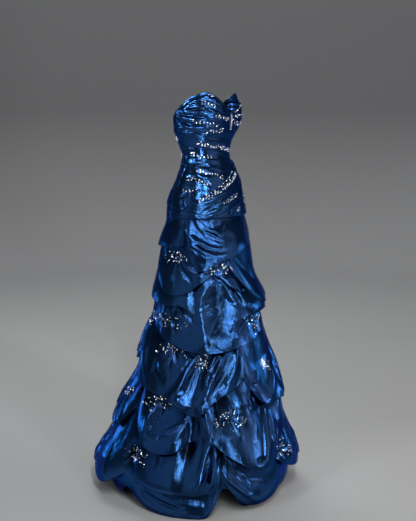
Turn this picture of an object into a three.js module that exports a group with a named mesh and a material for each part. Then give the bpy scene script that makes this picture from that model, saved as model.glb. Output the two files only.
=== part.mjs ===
// A strapless floor-length evening dress, hollow, as a wearer fills it out: ruched bust and midriff, a wrap
// gathered over the hips, and a skirt whose cloth is picked up by tacks, so that it hangs in swags.
// Millimetres, +Z up. The front faces -Y, the wearer's left is +X, and the origin is the middle of the waist.
// Cloth is a wall: an outer grid of points with the folds, an inner grid, and rims that join the two.
// Places round the body are in degrees. A heading counts from the centre front towards the wearer's left.
// An angle, on the skirt, counts from the show side, which is turned from the centre front by SHOW_SIDE.
import * as THREE from "three";

// ---- driving dimensions ----
const WAIST_HEIGHT = 1200; // from the floor
const SHOW_SIDE = -57; // heading of the skirt's show side, at the wearer's right front
const WALL = 2.4; // lined cloth
const GAP = 0.35; // between pieces that are sewn together
const LAYER_GAP = 0.7; // between a panel and what lies on it
const SIDE_SEAM = 108; // heading of the bodice's side seams
const BASQUE = 990; // height of the bodice's lower edge
const RUCHE = 3.4; // how far the gathers of the bodice stand out
const WRAP_RUCHE = 4.6;
const RUCHE_WANDER = 0.28; // share of a gather's depth that comes and goes along it
const FRONT_RUCHE = 0.45; // share of its depth that a gather keeps at the centre front
const FRONT_RUCHE_REACH = 16; // degrees from the centre front to a gather's full depth
const SKIRT_SEAMS = [-180, -114, -48, 48, 114, 180]; // headings of the skirt's seams
const SKIRT_COLUMN = 6; // degrees between the skirt's columns of points
const SKIRT_ROWS = 34;
const PROFILE_STEPS = 420; // fine steps down the skirt from which its rows are chosen
const LIP = { least: 6, share: 0.5 }; // height of the rolled edge under a swag, and its share of proud
const CORNER_WEIGHT = 26; // how many millimetres of cloth one radian of bend counts for, when rows are chosen
const ROW_BLEND = 4; // degrees to each side over which the rows of neighbouring columns are evened out
const WALL_REACH = 8; // the most that the wall measures along a radius, where the cloth lies nearly level

// The body of the dress at each height above the floor: half width, depth to the front and to the back, and
// how far the skirt swings towards SWING_TO there.
const SWING_TO = -147; // heading
const SECTIONS = [
  { height: 0, side: 306, front: 306, back: 306, swing: 30 },
  { height: 30, side: 325, front: 325, back: 325, swing: 32 },
  { height: 70, side: 337, front: 337, back: 337, swing: 34 },
  { height: 110, side: 338, front: 338, back: 338, swing: 33 },
  { height: 150, side: 332, front: 332, back: 332, swing: 31 },
  { height: 224, side: 312, front: 312, back: 312, swing: 24 },
  { height: 301, side: 289, front: 288, back: 288, swing: 13 },
  { height: 377, side: 265, front: 263, back: 264, swing: 4 },
  { height: 453, side: 242, front: 239, back: 240, swing: 0 },
  { height: 529, side: 222, front: 217, back: 219, swing: 0 },
  { height: 603, side: 205, front: 198, back: 200, swing: 0 },
  { height: 678, side: 192, front: 183, back: 185, swing: 0 },
  { height: 752, side: 181, front: 171, back: 173, swing: 0 },
  { height: 825, side: 174, front: 160, back: 162, swing: 0 },
  { height: 898, side: 169, front: 147, back: 150, swing: 0 },
  { height: 940, side: 166, front: 136, back: 140, swing: 0 },
  { height: 985, side: 161, front: 121, back: 130, swing: 0 },
  { height: 1007, side: 159, front: 118, back: 129, swing: 0 },
  { height: 1042, side: 154, front: 114, back: 126, swing: 0 },
  { height: 1078, side: 146, front: 104, back: 115, swing: 0 },
  { height: 1113, side: 134, front: 97, back: 94, swing: 0 },
  { height: 1149, side: 118, front: 86, back: 80, swing: 0 },
  { height: 1184, side: 106, front: 72, back: 75, swing: 0 },
  { height: 1202, side: 102, front: 68, back: 75, swing: 0 },
  { height: 1222, side: 104, front: 68, back: 80, swing: 0 },
  { height: 1250, side: 111, front: 75, back: 93, swing: 0 },
  { height: 1300, side: 127, front: 90, back: 105, swing: 0 },
  { height: 1350, side: 129, front: 92, back: 106, swing: 0 },
  { height: 1385, side: 121, front: 92, back: 102, swing: 0 },
  { height: 1420, side: 115, front: 88, back: 96, swing: 0 },
];
const CUP = { heading: 40, height: 1348, proud: 20, wide: 25, tall: 56 };

// Edges of the bodice by heading: the sweetheart neckline, and the seam under the bust.
const NECKLINE = [
  { heading: 0, top: 1349, underbust: 1293 },
  { heading: 10, top: 1361, underbust: 1288 },
  { heading: 25, top: 1383, underbust: 1280 },
  { heading: 40, top: 1406, underbust: 1275 },
  { heading: 57, top: 1419, underbust: 1274 },
  { heading: 75, top: 1409, underbust: 1277 },
  { heading: 90, top: 1394, underbust: 1284 },
  { heading: 108, top: 1364, underbust: 1292 },
  { heading: 120, top: 1346, underbust: 1292 },
  { heading: 135, top: 1333, underbust: 1292 },
  { heading: 150, top: 1326, underbust: 1292 },
  { heading: 180, top: 1322, underbust: 1292 },
];

// The hip wrap's upper edge: it climbs from the low right hip to the left side of the waist.
const WRAP_EDGE = [
  { heading: -100, top: 1006 },
  { heading: -86, top: 1024 },
  { heading: -72, top: 1052 },
  { heading: -49, top: 1080 },
  { heading: -20, top: 1108 },
  { heading: 10, top: 1136 },
  { heading: 40, top: 1168 },
  { heading: 75, top: 1190 },
  { heading: 104, top: 1196 },
];

// Swags of the skirt's show side. Each is a list of points on its lower edge: the angle, the height, and how
// far the cloth stands out there. rise is how far above that edge the swag begins to swell.
const SWAGS = [
  {
    name: "hip left",
    rise: 80,
    edge: [
      { angle: -100, height: 902, proud: 0 },
      { angle: -80, height: 890, proud: 14 },
      { angle: -60, height: 893, proud: 18 },
      { angle: -36, height: 892, proud: 16 },
      { angle: -24, height: 902, proud: 0 },
    ],
  },
  {
    name: "hip front",
    rise: 125,
    edge: [
      { angle: -28, height: 896, proud: 0 },
      { angle: -20, height: 872, proud: 18 },
      { angle: -8, height: 824, proud: 30 },
      { angle: 14, height: 846, proud: 27 },
      { angle: 44, height: 876, proud: 19 },
      { angle: 80, height: 902, proud: 0 },
    ],
  },
  {
    name: "pick-up left",
    rise: 90,
    edge: [
      { angle: -84, height: 846, proud: 0 },
      { angle: -64, height: 792, proud: 15 },
      { angle: -44, height: 742, proud: 23 },
      { angle: -22, height: 741, proud: 22 },
      { angle: -2, height: 786, proud: 15 },
      { angle: 13, height: 800, proud: 0 },
    ],
  },
  {
    name: "pick-up right",
    rise: 55,
    edge: [
      { angle: 6, height: 800, proud: 0 },
      { angle: 16, height: 785, proud: 14 },
      { angle: 34, height: 749, proud: 17 },
      { angle: 50, height: 744, proud: 0 },
    ],
  },
  {
    name: "side right",
    rise: 80,
    edge: [
      { angle: 20, height: 862, proud: 0 },
      { angle: 34, height: 796, proud: 11 },
      { angle: 53, height: 736, proud: 17 },
      { angle: 82, height: 692, proud: 26 },
      { angle: 118, height: 742, proud: 0 },
    ],
  },
  {
    name: "side left",
    rise: 90,
    edge: [
      { angle: -104, height: 752, proud: 0 },
      { angle: -76, height: 714, proud: 17 },
      { angle: -48, height: 697, proud: 24 },
      { angle: -20, height: 692, proud: 24 },
      { angle: -10, height: 642, proud: 10 },
      { angle: -2, height: 612, proud: 0 },
    ],
  },
  {
    name: "thigh right",
    rise: 115,
    edge: [
      { angle: 6, height: 606, proud: 0 },
      { angle: 20, height: 634, proud: 20 },
      { angle: 34, height: 655, proud: 28 },
      { angle: 63, height: 672, proud: 35 },
      { angle: 88, height: 676, proud: 22 },
      { angle: 106, height: 706, proud: 0 },
    ],
  },
  {
    name: "thigh front",
    rise: 150,
    edge: [
      { angle: -56, height: 628, proud: 0 },
      { angle: -42, height: 592, proud: 26 },
      { angle: -20, height: 564, proud: 38 },
      { angle: 8, height: 554, proud: 42 },
      { angle: 38, height: 574, proud: 34 },
      { angle: 61, height: 597, proud: 20 },
      { angle: 82, height: 628, proud: 0 },
    ],
  },
  {
    name: "back left",
    rise: 160,
    edge: [
      { angle: -112, height: 560, proud: 0 },
      { angle: -96, height: 500, proud: 18 },
      { angle: -82, height: 478, proud: 22 },
      { angle: -70, height: 520, proud: 10 },
      { angle: -64, height: 570, proud: 0 },
    ],
  },
  {
    name: "knee front",
    rise: 170,
    edge: [
      { angle: -84, height: 590, proud: 0 },
      { angle: -70, height: 486, proud: 22 },
      { angle: -53, height: 423, proud: 36 },
      { angle: -26, height: 400, proud: 42 },
      { angle: -8, height: 352, proud: 46 },
      { angle: 7, height: 398, proud: 32 },
      { angle: 24, height: 428, proud: 14 },
      { angle: 34, height: 444, proud: 0 },
    ],
  },
  {
    name: "knee right",
    rise: 135,
    edge: [
      { angle: 28, height: 470, proud: 0 },
      { angle: 38, height: 392, proud: 14 },
      { angle: 46, height: 354, proud: 28 },
      { angle: 62, height: 366, proud: 31 },
      { angle: 80, height: 390, proud: 24 },
      { angle: 104, height: 430, proud: 0 },
    ],
  },
  {
    name: "calf left",
    rise: 150,
    edge: [
      { angle: -116, height: 400, proud: 0 },
      { angle: -98, height: 322, proud: 20 },
      { angle: -82, height: 270, proud: 30 },
      { angle: -68, height: 262, proud: 26 },
      { angle: -56, height: 340, proud: 0 },
    ],
  },
  {
    name: "calf front",
    rise: 110,
    edge: [
      { angle: -56, height: 330, proud: 0 },
      { angle: -44, height: 268, proud: 25 },
      { angle: -34, height: 228, proud: 33 },
      { angle: -20, height: 222, proud: 28 },
      { angle: -6, height: 256, proud: 0 },
    ],
  },
  {
    name: "calf right",
    rise: 190,
    edge: [
      { angle: -6, height: 268, proud: 0 },
      { angle: 3, height: 252, proud: 14 },
      { angle: 17, height: 197, proud: 36 },
      { angle: 33, height: 150, proud: 42 },
      { angle: 44, height: 162, proud: 28 },
      { angle: 54, height: 222, proud: 0 },
    ],
  },
  {
    name: "hem left",
    rise: 150,
    edge: [
      { angle: -122, height: 150, proud: 0 },
      { angle: -100, height: 96, proud: 26 },
      { angle: -82, height: 70, proud: 40 },
      { angle: -66, height: 62, proud: 38 },
      { angle: -50, height: 112, proud: 0 },
    ],
  },
  {
    name: "hem front",
    rise: 130,
    edge: [
      { angle: -46, height: 132, proud: 0 },
      { angle: -38, height: 108, proud: 22 },
      { angle: -14, height: 99, proud: 38 },
      { angle: -4, height: 134, proud: 30 },
      { angle: 3, height: 252, proud: 12 },
      { angle: 8, height: 300, proud: 0 },
    ],
  },
  {
    name: "hem right",
    rise: 150,
    edge: [
      { angle: 44, height: 176, proud: 0 },
      { angle: 60, height: 120, proud: 22 },
      { angle: 78, height: 98, proud: 32 },
      { angle: 96, height: 112, proud: 26 },
      { angle: 116, height: 150, proud: 0 },
    ],
  },
  {
    name: "foot front",
    rise: 92,
    edge: [
      { angle: -46, height: 24, proud: 0 },
      { angle: -34, height: -6, proud: 30 },
      { angle: -14, height: -16, proud: 52 },
      { angle: 0, height: -8, proud: 50 },
      { angle: 9, height: 50, proud: 0 },
    ],
  },
  {
    name: "foot right",
    rise: 96,
    edge: [
      { angle: 8, height: 130, proud: 0 },
      { angle: 18, height: 52, proud: 18 },
      { angle: 29, height: 18, proud: 26 },
      { angle: 44, height: 26, proud: 22 },
      { angle: 60, height: 66, proud: 0 },
    ],
  },
];

// Soft folds: ridges, and where proud is negative, troughs. line runs through [angle, height].
const FOLDS = [
  { name: "hip fold", proud: 9, wide: 17, line: [[-34, 962], [-25, 912], [0, 874], [44, 877], [68, 892]] },
  { name: "upper hip fold", proud: 6, wide: 15, line: [[-6, 978], [4, 940], [24, 920], [44, 930]] },
  { name: "thigh ridge", proud: 12, wide: 26, line: [[3, 784], [-7, 726], [-5, 643], [0, 570]] },
  { name: "thigh right ridge", proud: 9, wide: 24, line: [[20, 772], [38, 728], [50, 690]] },
  { name: "thigh hollow", proud: -9, wide: 26, line: [[14, 760], [14, 690], [16, 600]] },
  { name: "knee fold left", proud: 12, wide: 18, line: [[-8, 528], [-16, 468], [-24, 405]] },
  { name: "knee fold middle", proud: 12, wide: 17, line: [[7, 524], [3, 470], [-2, 400]] },
  { name: "knee fold right", proud: 12, wide: 17, line: [[26, 520], [20, 474], [14, 425]] },
  { name: "knee hollow", proud: -10, wide: 16, line: [[0, 520], [-6, 460], [-12, 380]] },
  { name: "calf ridge", proud: 12, wide: 18, line: [[-4, 350], [0, 300], [3, 246]] },
  { name: "calf hollow", proud: -20, wide: 24, line: [[-9, 340], [-11, 260], [-13, 130]] },
  { name: "calf left ridge", proud: 13, wide: 24, line: [[-38, 372], [-40, 320], [-37, 240]] },
  { name: "skirt right ridge", proud: 9, wide: 24, line: [[26, 400], [30, 330], [34, 255]] },
  { name: "side right ridge", proud: 13, wide: 24, line: [[70, 390], [58, 300], [46, 215]] },
  { name: "side left ridge", proud: 12, wide: 24, line: [[-72, 630], [-64, 540], [-58, 450]] },
  { name: "hem pleat left", proud: 11, wide: 15, line: [[5, 230], [-1, 160], [-7, 104]] },
  { name: "hem pleat right", proud: 11, wide: 13, line: [[6, 225], [5, 160], [3, 104]] },
  { name: "hem side pleat", proud: 12, wide: 17, line: [[12, 140], [22, 96], [32, 44]] },
];

// Tacks that pick the cloth up, each under a cluster of beads.
const TACKS = [
  { angle: -42, height: 862, pull: 9 },
  { angle: 12, height: 806, pull: 12 },
  { angle: -36, height: 650, pull: 11 },
  { angle: 52, height: 634, pull: 11 },
  { angle: -76, height: 640, pull: 12 },
  { angle: -31, height: 540, pull: 10 },
  { angle: -3, height: 506, pull: 8 },
  { angle: -36, height: 368, pull: 14 },
  { angle: 17, height: 318, pull: 15 },
  { angle: 56, height: 176, pull: 10 },
  { angle: -48, height: 190, pull: 12 },
];
const TACK_REACH = 30;

// Height of the hem above the floor on the show side.
const HEM = [
  { angle: -90, height: 6 },
  { angle: -74, height: 0 },
  { angle: -60, height: 14 },
  { angle: -50, height: 62 },
  { angle: -42, height: 30 },
  { angle: -32, height: 4 },
  { angle: -14, height: 0 },
  { angle: 0, height: 4 },
  { angle: 8, height: 84 },
  { angle: 13, height: 88 },
  { angle: 21, height: 24 },
  { angle: 29, height: 2 },
  { angle: 44, height: 14 },
  { angle: 62, height: 34 },
  { angle: 78, height: 16 },
  { angle: 90, height: 6 },
];
const FAR_SIDE_LIFT = 12; // the far side repeats the show side, mirrored, with its swags this much higher

// The closure at the centre back.
const ZIP = { half: 2, proud: 0.6, thick: 2.2, rows: 26, headroom: 12 };
const SLIDER = { width: 7.4, thick: 1.8, tall: 9, ear: 1.2, earDeep: 3.4 };
const PULL = { head: 3.6, width: 6.4, thick: 1.3, long: 21, pivot: 2.1 };

const BUST_TAB = { width: 13, top: 1345, bottom: 1291, thick: 2.6, rows: 9, columns: 4, crown: 1.4 };

// ---- smooth curves through the tables ----
const DEGREE = Math.PI / 180;
const clamp = (value, low, high) => Math.min(Math.max(value, low), high);

// The curve is a cubic between rows, and its slope at a row is that of the line between the row's neighbours.
function curve(xs, ys) {
  const last = xs.length - 1;
  const slopes = xs.map((_, i) => {
    const before = Math.max(i - 1, 0);
    const after = Math.min(i + 1, last);
    return (ys[after] - ys[before]) / (xs[after] - xs[before]);
  });
  return (value) => {
    const x = clamp(value, xs[0], xs[last]);
    let i = 0;
    while (i < last - 1 && x > xs[i + 1]) i += 1;
    const span = xs[i + 1] - xs[i];
    const t = (x - xs[i]) / span;
    const rise = ys[i + 1] - ys[i];
    const bendIn = slopes[i] * span - rise;
    const bendOut = rise - slopes[i + 1] * span;
    return ys[i] + t * rise + t * (1 - t) * ((1 - t) * bendIn + t * bendOut);
  };
}
const column = (rows, x, y) => curve(rows.map((row) => row[x]), rows.map((row) => row[y]));

const sideAt = column(SECTIONS, "height", "side");
const frontAt = column(SECTIONS, "height", "front");
const backAt = column(SECTIONS, "height", "back");
const swingAt = column(SECTIONS, "height", "swing");
const necklineAt = column(NECKLINE, "heading", "top");
const underbustAt = column(NECKLINE, "heading", "underbust");
const wrapEdgeAt = column(WRAP_EDGE, "heading", "top");
const showHemAt = column(HEM, "angle", "height");

const bell = (x) => Math.exp(-x * x);

// ---- the body of the dress ----
// Distance from the dress's axis to the cloth, before any fold: an ellipse at each height, with two cups, and
// the skirt's swing.
function bodyRadius(heading, height) {
  const across = Math.sin(heading * DEGREE) / sideAt(height);
  const depth = Math.cos(heading * DEGREE);
  const along = depth / (depth > 0 ? frontAt(height) : backAt(height));
  const cup = bell((Math.abs(heading) - CUP.heading) / CUP.wide) * bell((height - CUP.height) / CUP.tall);
  const swing = swingAt(height) * Math.cos((heading - SWING_TO) * DEGREE);
  return 1 / Math.hypot(across, along) + CUP.proud * cup + swing;
}

function pointAt(heading, radius, height) {
  return new THREE.Vector3(radius * Math.sin(heading * DEGREE), -radius * Math.cos(heading * DEGREE), height);
}

// ---- closed walls ----
// Joins two lines of points with triangles, whatever the number of points in each.
function join(triangles, first, second, turned = false) {
  const add = (a, b, c) => (turned ? triangles.push(a, c, b) : triangles.push(a, b, c));
  let i = 0;
  let j = 0;
  while (i < first.length - 1 || j < second.length - 1) {
    const firstNext = (i + 1) / (first.length - 1);
    const secondNext = (j + 1) / (second.length - 1);
    if (j === second.length - 1 || (i < first.length - 1 && firstNext <= secondNext)) {
      add(first[i], first[i + 1], second[j]);
      i += 1;
    } else {
      add(first[i], second[j + 1], second[j]);
      j += 1;
    }
  }
}

// outer and inner are lists of columns, in order of heading, each from the upper edge to the lower.
function wall(outer, inner) {
  const triangles = [];
  for (let c = 0; c < outer.length - 1; c += 1) {
    join(triangles, outer[c], outer[c + 1]);
    join(triangles, inner[c], inner[c + 1], true);
  }
  const last = outer.length - 1;
  const top = (line) => line[0];
  const bottom = (line) => line[line.length - 1];
  join(triangles, outer.map(top), inner.map(top));
  join(triangles, inner.map(bottom), outer.map(bottom));
  join(triangles, inner[0], outer[0]);
  join(triangles, outer[last], inner[last]);
  const geometry = new THREE.BufferGeometry().setFromPoints(triangles);
  geometry.computeVertexNormals();
  return geometry;
}

// The columns of a panel between two seams. inset is how many millimetres a column is held back from its
// heading, so that the panel stops short of each seam by the same width all the way down.
function columnsBetween(from, to, count, insetFrom = GAP / 2, insetTo = GAP / 2) {
  return Array.from({ length: count + 1 }, (_, i) => {
    const share = i / count;
    return { heading: from + (to - from) * share, inset: insetFrom * (1 - share) - insetTo * share };
  });
}

function pointOn(place, radius, height) {
  return pointAt(place.heading + place.inset / radius / DEGREE, radius, height);
}

// ---- ruched panels of the bodice ----
// Gathers run along the panel: each fold is a ridge row and a trough row of the outer grid. A fold keeps its
// share of the panel's height, so folds fan out where the panel widens. Their depth wanders along the panel.
function ruchedPanel({ columns, top, bottom, folds, lift = 0, depth = RUCHE, shareOf = () => 1, innerRows }) {
  const outer = columns.map((place) =>
    Array.from({ length: 2 * folds + 1 }, (_, row) => {
      const { heading } = place;
      const height = top(heading) + ((bottom(heading) - top(heading)) * row) / (2 * folds);
      const wave = Math.sin(heading * 0.11 + row * 2.3) * Math.cos(heading * 0.047 - row * 1.1);
      const ridge = row % 2 === 1 ? depth * (1 - RUCHE_WANDER * (1 - wave)) * shareOf(heading) : 0;
      return pointOn(place, bodyRadius(heading, height) + lift + WALL + ridge, height);
    }),
  );
  const inner = columns.map((place) =>
    Array.from({ length: innerRows + 1 }, (_, row) => {
      const { heading } = place;
      const height = top(heading) + ((bottom(heading) - top(heading)) * row) / innerRows;
      return pointOn(place, bodyRadius(heading, height) + lift, height);
    }),
  );
  return wall(outer, inner);
}

const mirrored = (table) => (heading) => table(Math.abs(heading));
const neckline = mirrored(necklineAt);
const underbust = mirrored(underbustAt);

// The gathers of a cup run together at the centre front, where the tab holds them.
function cupShare(heading) {
  const clear = Math.min(1, Math.abs(heading) / FRONT_RUCHE_REACH);
  return FRONT_RUCHE + (1 - FRONT_RUCHE) * clear;
}

const bustHalf = (from, to) =>
  ruchedPanel({
    columns: columnsBetween(from, to, 14),
    top: neckline,
    bottom: (heading) => underbust(heading) + GAP / 2,
    folds: 8,
    shareOf: cupShare,
    innerRows: 6,
  });

const midriffColumns = columnsBetween(-SIDE_SEAM, SIDE_SEAM, 24);
const midriff = () =>
  ruchedPanel({
    columns: midriffColumns,
    top: (heading) => underbust(heading) - GAP / 2,
    bottom: () => BASQUE,
    folds: 14,
    innerRows: 16,
  });

// The gathers of a back panel lie flat where it is sewn to the zip.
const back = (from, to, insetFrom, insetTo) =>
  ruchedPanel({
    columns: columnsBetween(from, to, 8, insetFrom, insetTo),
    top: neckline,
    bottom: () => BASQUE,
    folds: 15,
    shareOf: (heading) => clamp((180 - Math.abs(heading)) / 12, 0.05, 1),
    innerRows: 16,
  });

// The wrap lies on the midriff's own columns, moved out past its gathers. It tapers to the right.
const hipWrap = () =>
  ruchedPanel({
    columns: midriffColumns.slice(1),
    top: wrapEdgeAt,
    bottom: () => BASQUE,
    folds: 8,
    lift: WALL + RUCHE + LAYER_GAP,
    depth: WRAP_RUCHE,
    shareOf: (heading) => clamp((heading + SIDE_SEAM) / 30, 0.15, 1),
    innerRows: 11,
  });

// A beaded tab over the centre front, between the cups.
function bustTab() {
  const { width, top, bottom, thick, rows, columns, crown } = BUST_TAB;
  const lift = WALL + RUCHE * (FRONT_RUCHE + 0.15) + LAYER_GAP;
  const line = (x, thickness, round) =>
    Array.from({ length: rows + 1 }, (_, row) => {
      const height = top + ((bottom - top) * row) / rows;
      const heading = x / frontAt(height) / DEGREE;
      const rib = row % 2 === 1 ? round / 2 : 0;
      const swell = round * (1 - ((2 * x) / width) ** 2) + rib;
      return pointAt(heading, bodyRadius(heading, height) + lift + thickness + swell, height);
    });
  const across = Array.from({ length: columns + 1 }, (_, i) => width * (i / columns - 0.5));
  return wall(
    across.map((x) => line(x, thick, crown)),
    across.map((x) => line(x, 0, 0)),
  );
}

// ---- the skirt ----
const wrapAngle = (angle) => ((((angle + 180) % 360) + 360) % 360) - 180;

const SWAG_CURVES = SWAGS.map(({ rise, edge }) => ({
  rise,
  from: edge[0].angle,
  to: edge[edge.length - 1].angle,
  heightAt: column(edge, "angle", "height"),
  proudAt: column(edge, "angle", "proud"),
}));

// How far one swag swells the cloth: out at its rolled lower edge, and fading over its rise.
function swell(swag, angle, height) {
  if (angle <= swag.from || angle >= swag.to) return 0;
  const above = height - swag.heightAt(angle);
  if (above <= 0 || above >= swag.rise) return 0;
  const proud = Math.max(swag.proudAt(angle), 0);
  const roll = LIP.least + LIP.share * proud;
  const lip = above < roll ? Math.sqrt(1 - (1 - above / roll) ** 2) : 1;
  const fade = Math.cos((Math.PI / 2) * clamp((above - roll) / (swag.rise - roll), 0, 1)) ** 1.5;
  return proud * lip * fade;
}

// How far one fold lifts the cloth: a bell across the fold, dying away towards both of its ends.
function foldHeight(fold, angle, height, radius) {
  const scale = radius * DEGREE;
  let best = 0;
  fold.line.slice(1).forEach((end, i) => {
    const start = fold.line[i];
    const along = [(end[0] - start[0]) * scale, end[1] - start[1]];
    const out = [(angle - start[0]) * scale, height - start[1]];
    const t = clamp((out[0] * along[0] + out[1] * along[1]) / (along[0] ** 2 + along[1] ** 2), 0, 1);
    const distance = Math.hypot(out[0] - t * along[0], out[1] - t * along[1]);
    const share = (i + t) / (fold.line.length - 1);
    best = Math.max(best, bell(distance / fold.wide) * Math.sin(Math.PI * (0.06 + 0.88 * share)) ** 0.6);
  });
  return fold.proud * best;
}

// Radius of the skirt's outer face on the show side, for an angle from -90 to 90 and a little past.
function drape(angle, height, radius) {
  const swags = SWAG_CURVES.reduce((sum, swag) => sum + swell(swag, angle, height) ** 3, 0) ** (1 / 3);
  const folds = FOLDS.reduce((sum, fold) => sum + foldHeight(fold, angle, height, radius), 0);
  const tacks = TACKS.reduce((sum, tack) => {
    const across = (angle - tack.angle) * radius * DEGREE;
    return sum + tack.pull * bell(Math.hypot(across, height - tack.height) / TACK_REACH);
  }, 0);
  const fromBasque = clamp((BASQUE - height) / 40, 0, 1);
  return swags + (folds - tacks) * fromBasque;
}

// The far side is the show side mirrored and lifted, and the two cross over at the sides.
function skirtRadius(angle, height) {
  const radius = bodyRadius(angle + SHOW_SIDE, height);
  const turn = Math.abs(wrapAngle(angle));
  const show = turn <= 120 ? drape(wrapAngle(angle), height, radius) : 0;
  const far = turn >= 60 ? drape(180 - (((angle % 360) + 360) % 360), height - FAR_SIDE_LIFT, radius) : 0;
  const out = Math.cbrt(Math.max(show, 0) ** 3 + Math.max(far, 0) ** 3);
  return radius + WALL + out + Math.min(show, 0) + Math.min(far, 0);
}

function hemHeight(angle) {
  const turn = wrapAngle(angle);
  return Math.max(showHemAt(Math.abs(turn) <= 90 ? turn : wrapAngle(180 - turn)), 0);
}

// Heights of the rows in one column: spread by length of cloth and by how much it bends, so that they crowd
// at the rolled edges.
function rowHeights(angle) {
  const top = BASQUE - GAP;
  const bottom = hemHeight(angle);
  const profile = Array.from({ length: PROFILE_STEPS + 1 }, (_, i) => {
    const height = top + ((bottom - top) * i) / PROFILE_STEPS;
    return new THREE.Vector2(skirtRadius(angle, height), height);
  });
  const at = (i) => profile[clamp(i, 0, PROFILE_STEPS)];
  const course = (i) => at(i + 2).clone().sub(at(i - 2)).normalize();
  const measure = [0];
  for (let i = 1; i <= PROFILE_STEPS; i += 1) {
    const bend = Math.acos(clamp(course(i).dot(course(i - 1)), -1, 1));
    measure.push(measure[i - 1] + at(i).distanceTo(at(i - 1)) + CORNER_WEIGHT * bend);
  }
  let i = 0;
  return Array.from({ length: SKIRT_ROWS + 1 }, (_, row) => {
    const wanted = (measure[PROFILE_STEPS] * row) / SKIRT_ROWS;
    while (i < PROFILE_STEPS && measure[i] < wanted) i += 1;
    return at(i).y;
  });
}

// How far in from the outer face the inner one lies, along a radius: more where the cloth slopes.
function wallAlongRadius(angle, height) {
  const step = 2;
  const down = (skirtRadius(angle, height + step) - skirtRadius(angle, height - step)) / (2 * step);
  const turn = step / bodyRadius(angle + SHOW_SIDE, height) / DEGREE;
  const round = (skirtRadius(angle + turn, height) - skirtRadius(angle - turn, height)) / (2 * step);
  return Math.min(WALL * Math.hypot(1, down, round), WALL_REACH);
}

function skirtGore(from, to) {
  const columns = columnsBetween(from, to, Math.round((to - from) / SKIRT_COLUMN));
  const outer = [];
  const inner = [];
  columns.forEach((place) => {
    const angle = place.heading - SHOW_SIDE;
    const ends = [BASQUE - GAP, hemHeight(angle)];
    const near = [angle - ROW_BLEND, angle, angle + ROW_BLEND].map(rowHeights);
    const heights = near[0].map((_, row) => {
      if (row === 0) return ends[0];
      if (row === SKIRT_ROWS) return ends[1];
      const shares = near.map((rows) => (rows[0] - rows[row]) / (rows[0] - rows[SKIRT_ROWS]));
      return ends[0] + ((ends[1] - ends[0]) * (shares[0] + 2 * shares[1] + shares[2])) / 4;
    });
    const radii = heights.map((height) => skirtRadius(angle, height));
    const walls = heights.map((height) => wallAlongRadius(angle, height));
    outer.push(heights.map((height, row) => pointOn(place, radii[row], height)));
    inner.push(heights.map((height, row) => pointOn(place, radii[row] - walls[row], height)));
  });
  return wall(outer, inner);
}

// ---- the closure ----
// The zip fills the slot between the two back panels, from the neckline to the basque.
function zipChain() {
  const top = necklineAt(180);
  const line = (x, proud) =>
    Array.from({ length: ZIP.rows + 1 }, (_, row) => {
      const height = top + ((BASQUE - top) * row) / ZIP.rows;
      return new THREE.Vector3(-x, bodyRadius(180, height) + proud, height);
    });
  const across = [-ZIP.half, 0, ZIP.half];
  return wall(
    across.map((x) => line(x, ZIP.proud + ZIP.thick)),
    across.map((x) => line(x, ZIP.proud)),
  );
}

function extruded(corners, depth) {
  const outline = new THREE.Shape(corners.map(([x, y]) => new THREE.Vector2(x, y)));
  return new THREE.ExtrudeGeometry(outline, { depth, bevelEnabled: false });
}

// A channel, pushed up in Z: a plate on the zip, and two ears that stand off it.
function zipSlider() {
  const { width, thick, tall, ear, earDeep } = SLIDER;
  const outside = width / 2;
  const inside = outside - ear;
  const face = thick + earDeep;
  const channel = [
    [-outside, 0],
    [outside, 0],
    [outside, face],
    [inside, face],
    [inside, thick],
    [-inside, thick],
    [-inside, face],
    [-outside, face],
  ];
  return extruded(channel, tall);
}

// The pull hangs from the middle of its head, between the ears, and widens to a round end.
function zipPull() {
  const { head, width, thick, long } = PULL;
  const radius = width / 2;
  const drop = [
    [head / 2, head / 2],
    [-head / 2, head / 2],
    [-head / 2, -head],
    [-radius, radius - long],
  ];
  for (let turn = 200; turn < 350; turn += 20) {
    drop.push([radius * Math.cos(turn * DEGREE), radius - long + radius * Math.sin(turn * DEGREE)]);
  }
  drop.push([radius, radius - long], [head / 2, -head]);
  return extruded(drop, thick).translate(0, 0, -thick / 2).rotateX(Math.PI / 2);
}

// ---- materials and the dress ----
const taffeta = () => new THREE.MeshStandardMaterial({ color: 0x0d2f7a, roughness: 0.38, metalness: 0.35 });
const beadwork = () => new THREE.MeshStandardMaterial({ color: 0xdfe4ea, roughness: 0.2, metalness: 0.6 });
const zipMetal = () => new THREE.MeshStandardMaterial({ color: 0x16275c, roughness: 0.45, metalness: 0.5 });

const dress = new THREE.Group();
dress.position.z = -WAIST_HEIGHT;
function sew(name, geometry, material) {
  const piece = new THREE.Mesh(geometry, material);
  piece.name = name;
  dress.add(piece);
  return piece;
}

sew("bust_right", bustHalf(-SIDE_SEAM, 0), taffeta());
sew("bust_left", bustHalf(0, SIDE_SEAM), taffeta());
sew("midriff_front", midriff(), taffeta());
sew("back_right", back(-180, -SIDE_SEAM, ZIP.half + GAP, GAP / 2), taffeta());
sew("back_left", back(SIDE_SEAM, 180, GAP / 2, ZIP.half + GAP), taffeta());
sew("hip_wrap", hipWrap(), taffeta());
sew("bust_tab", bustTab(), beadwork());

const GORES = ["skirt_back_right", "skirt_side_right", "skirt_front", "skirt_side_left", "skirt_back_left"];
GORES.forEach((name, i) => sew(name, skirtGore(SKIRT_SEAMS[i], SKIRT_SEAMS[i + 1]), taffeta()));

sew("zip_chain", zipChain(), zipMetal());

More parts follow.
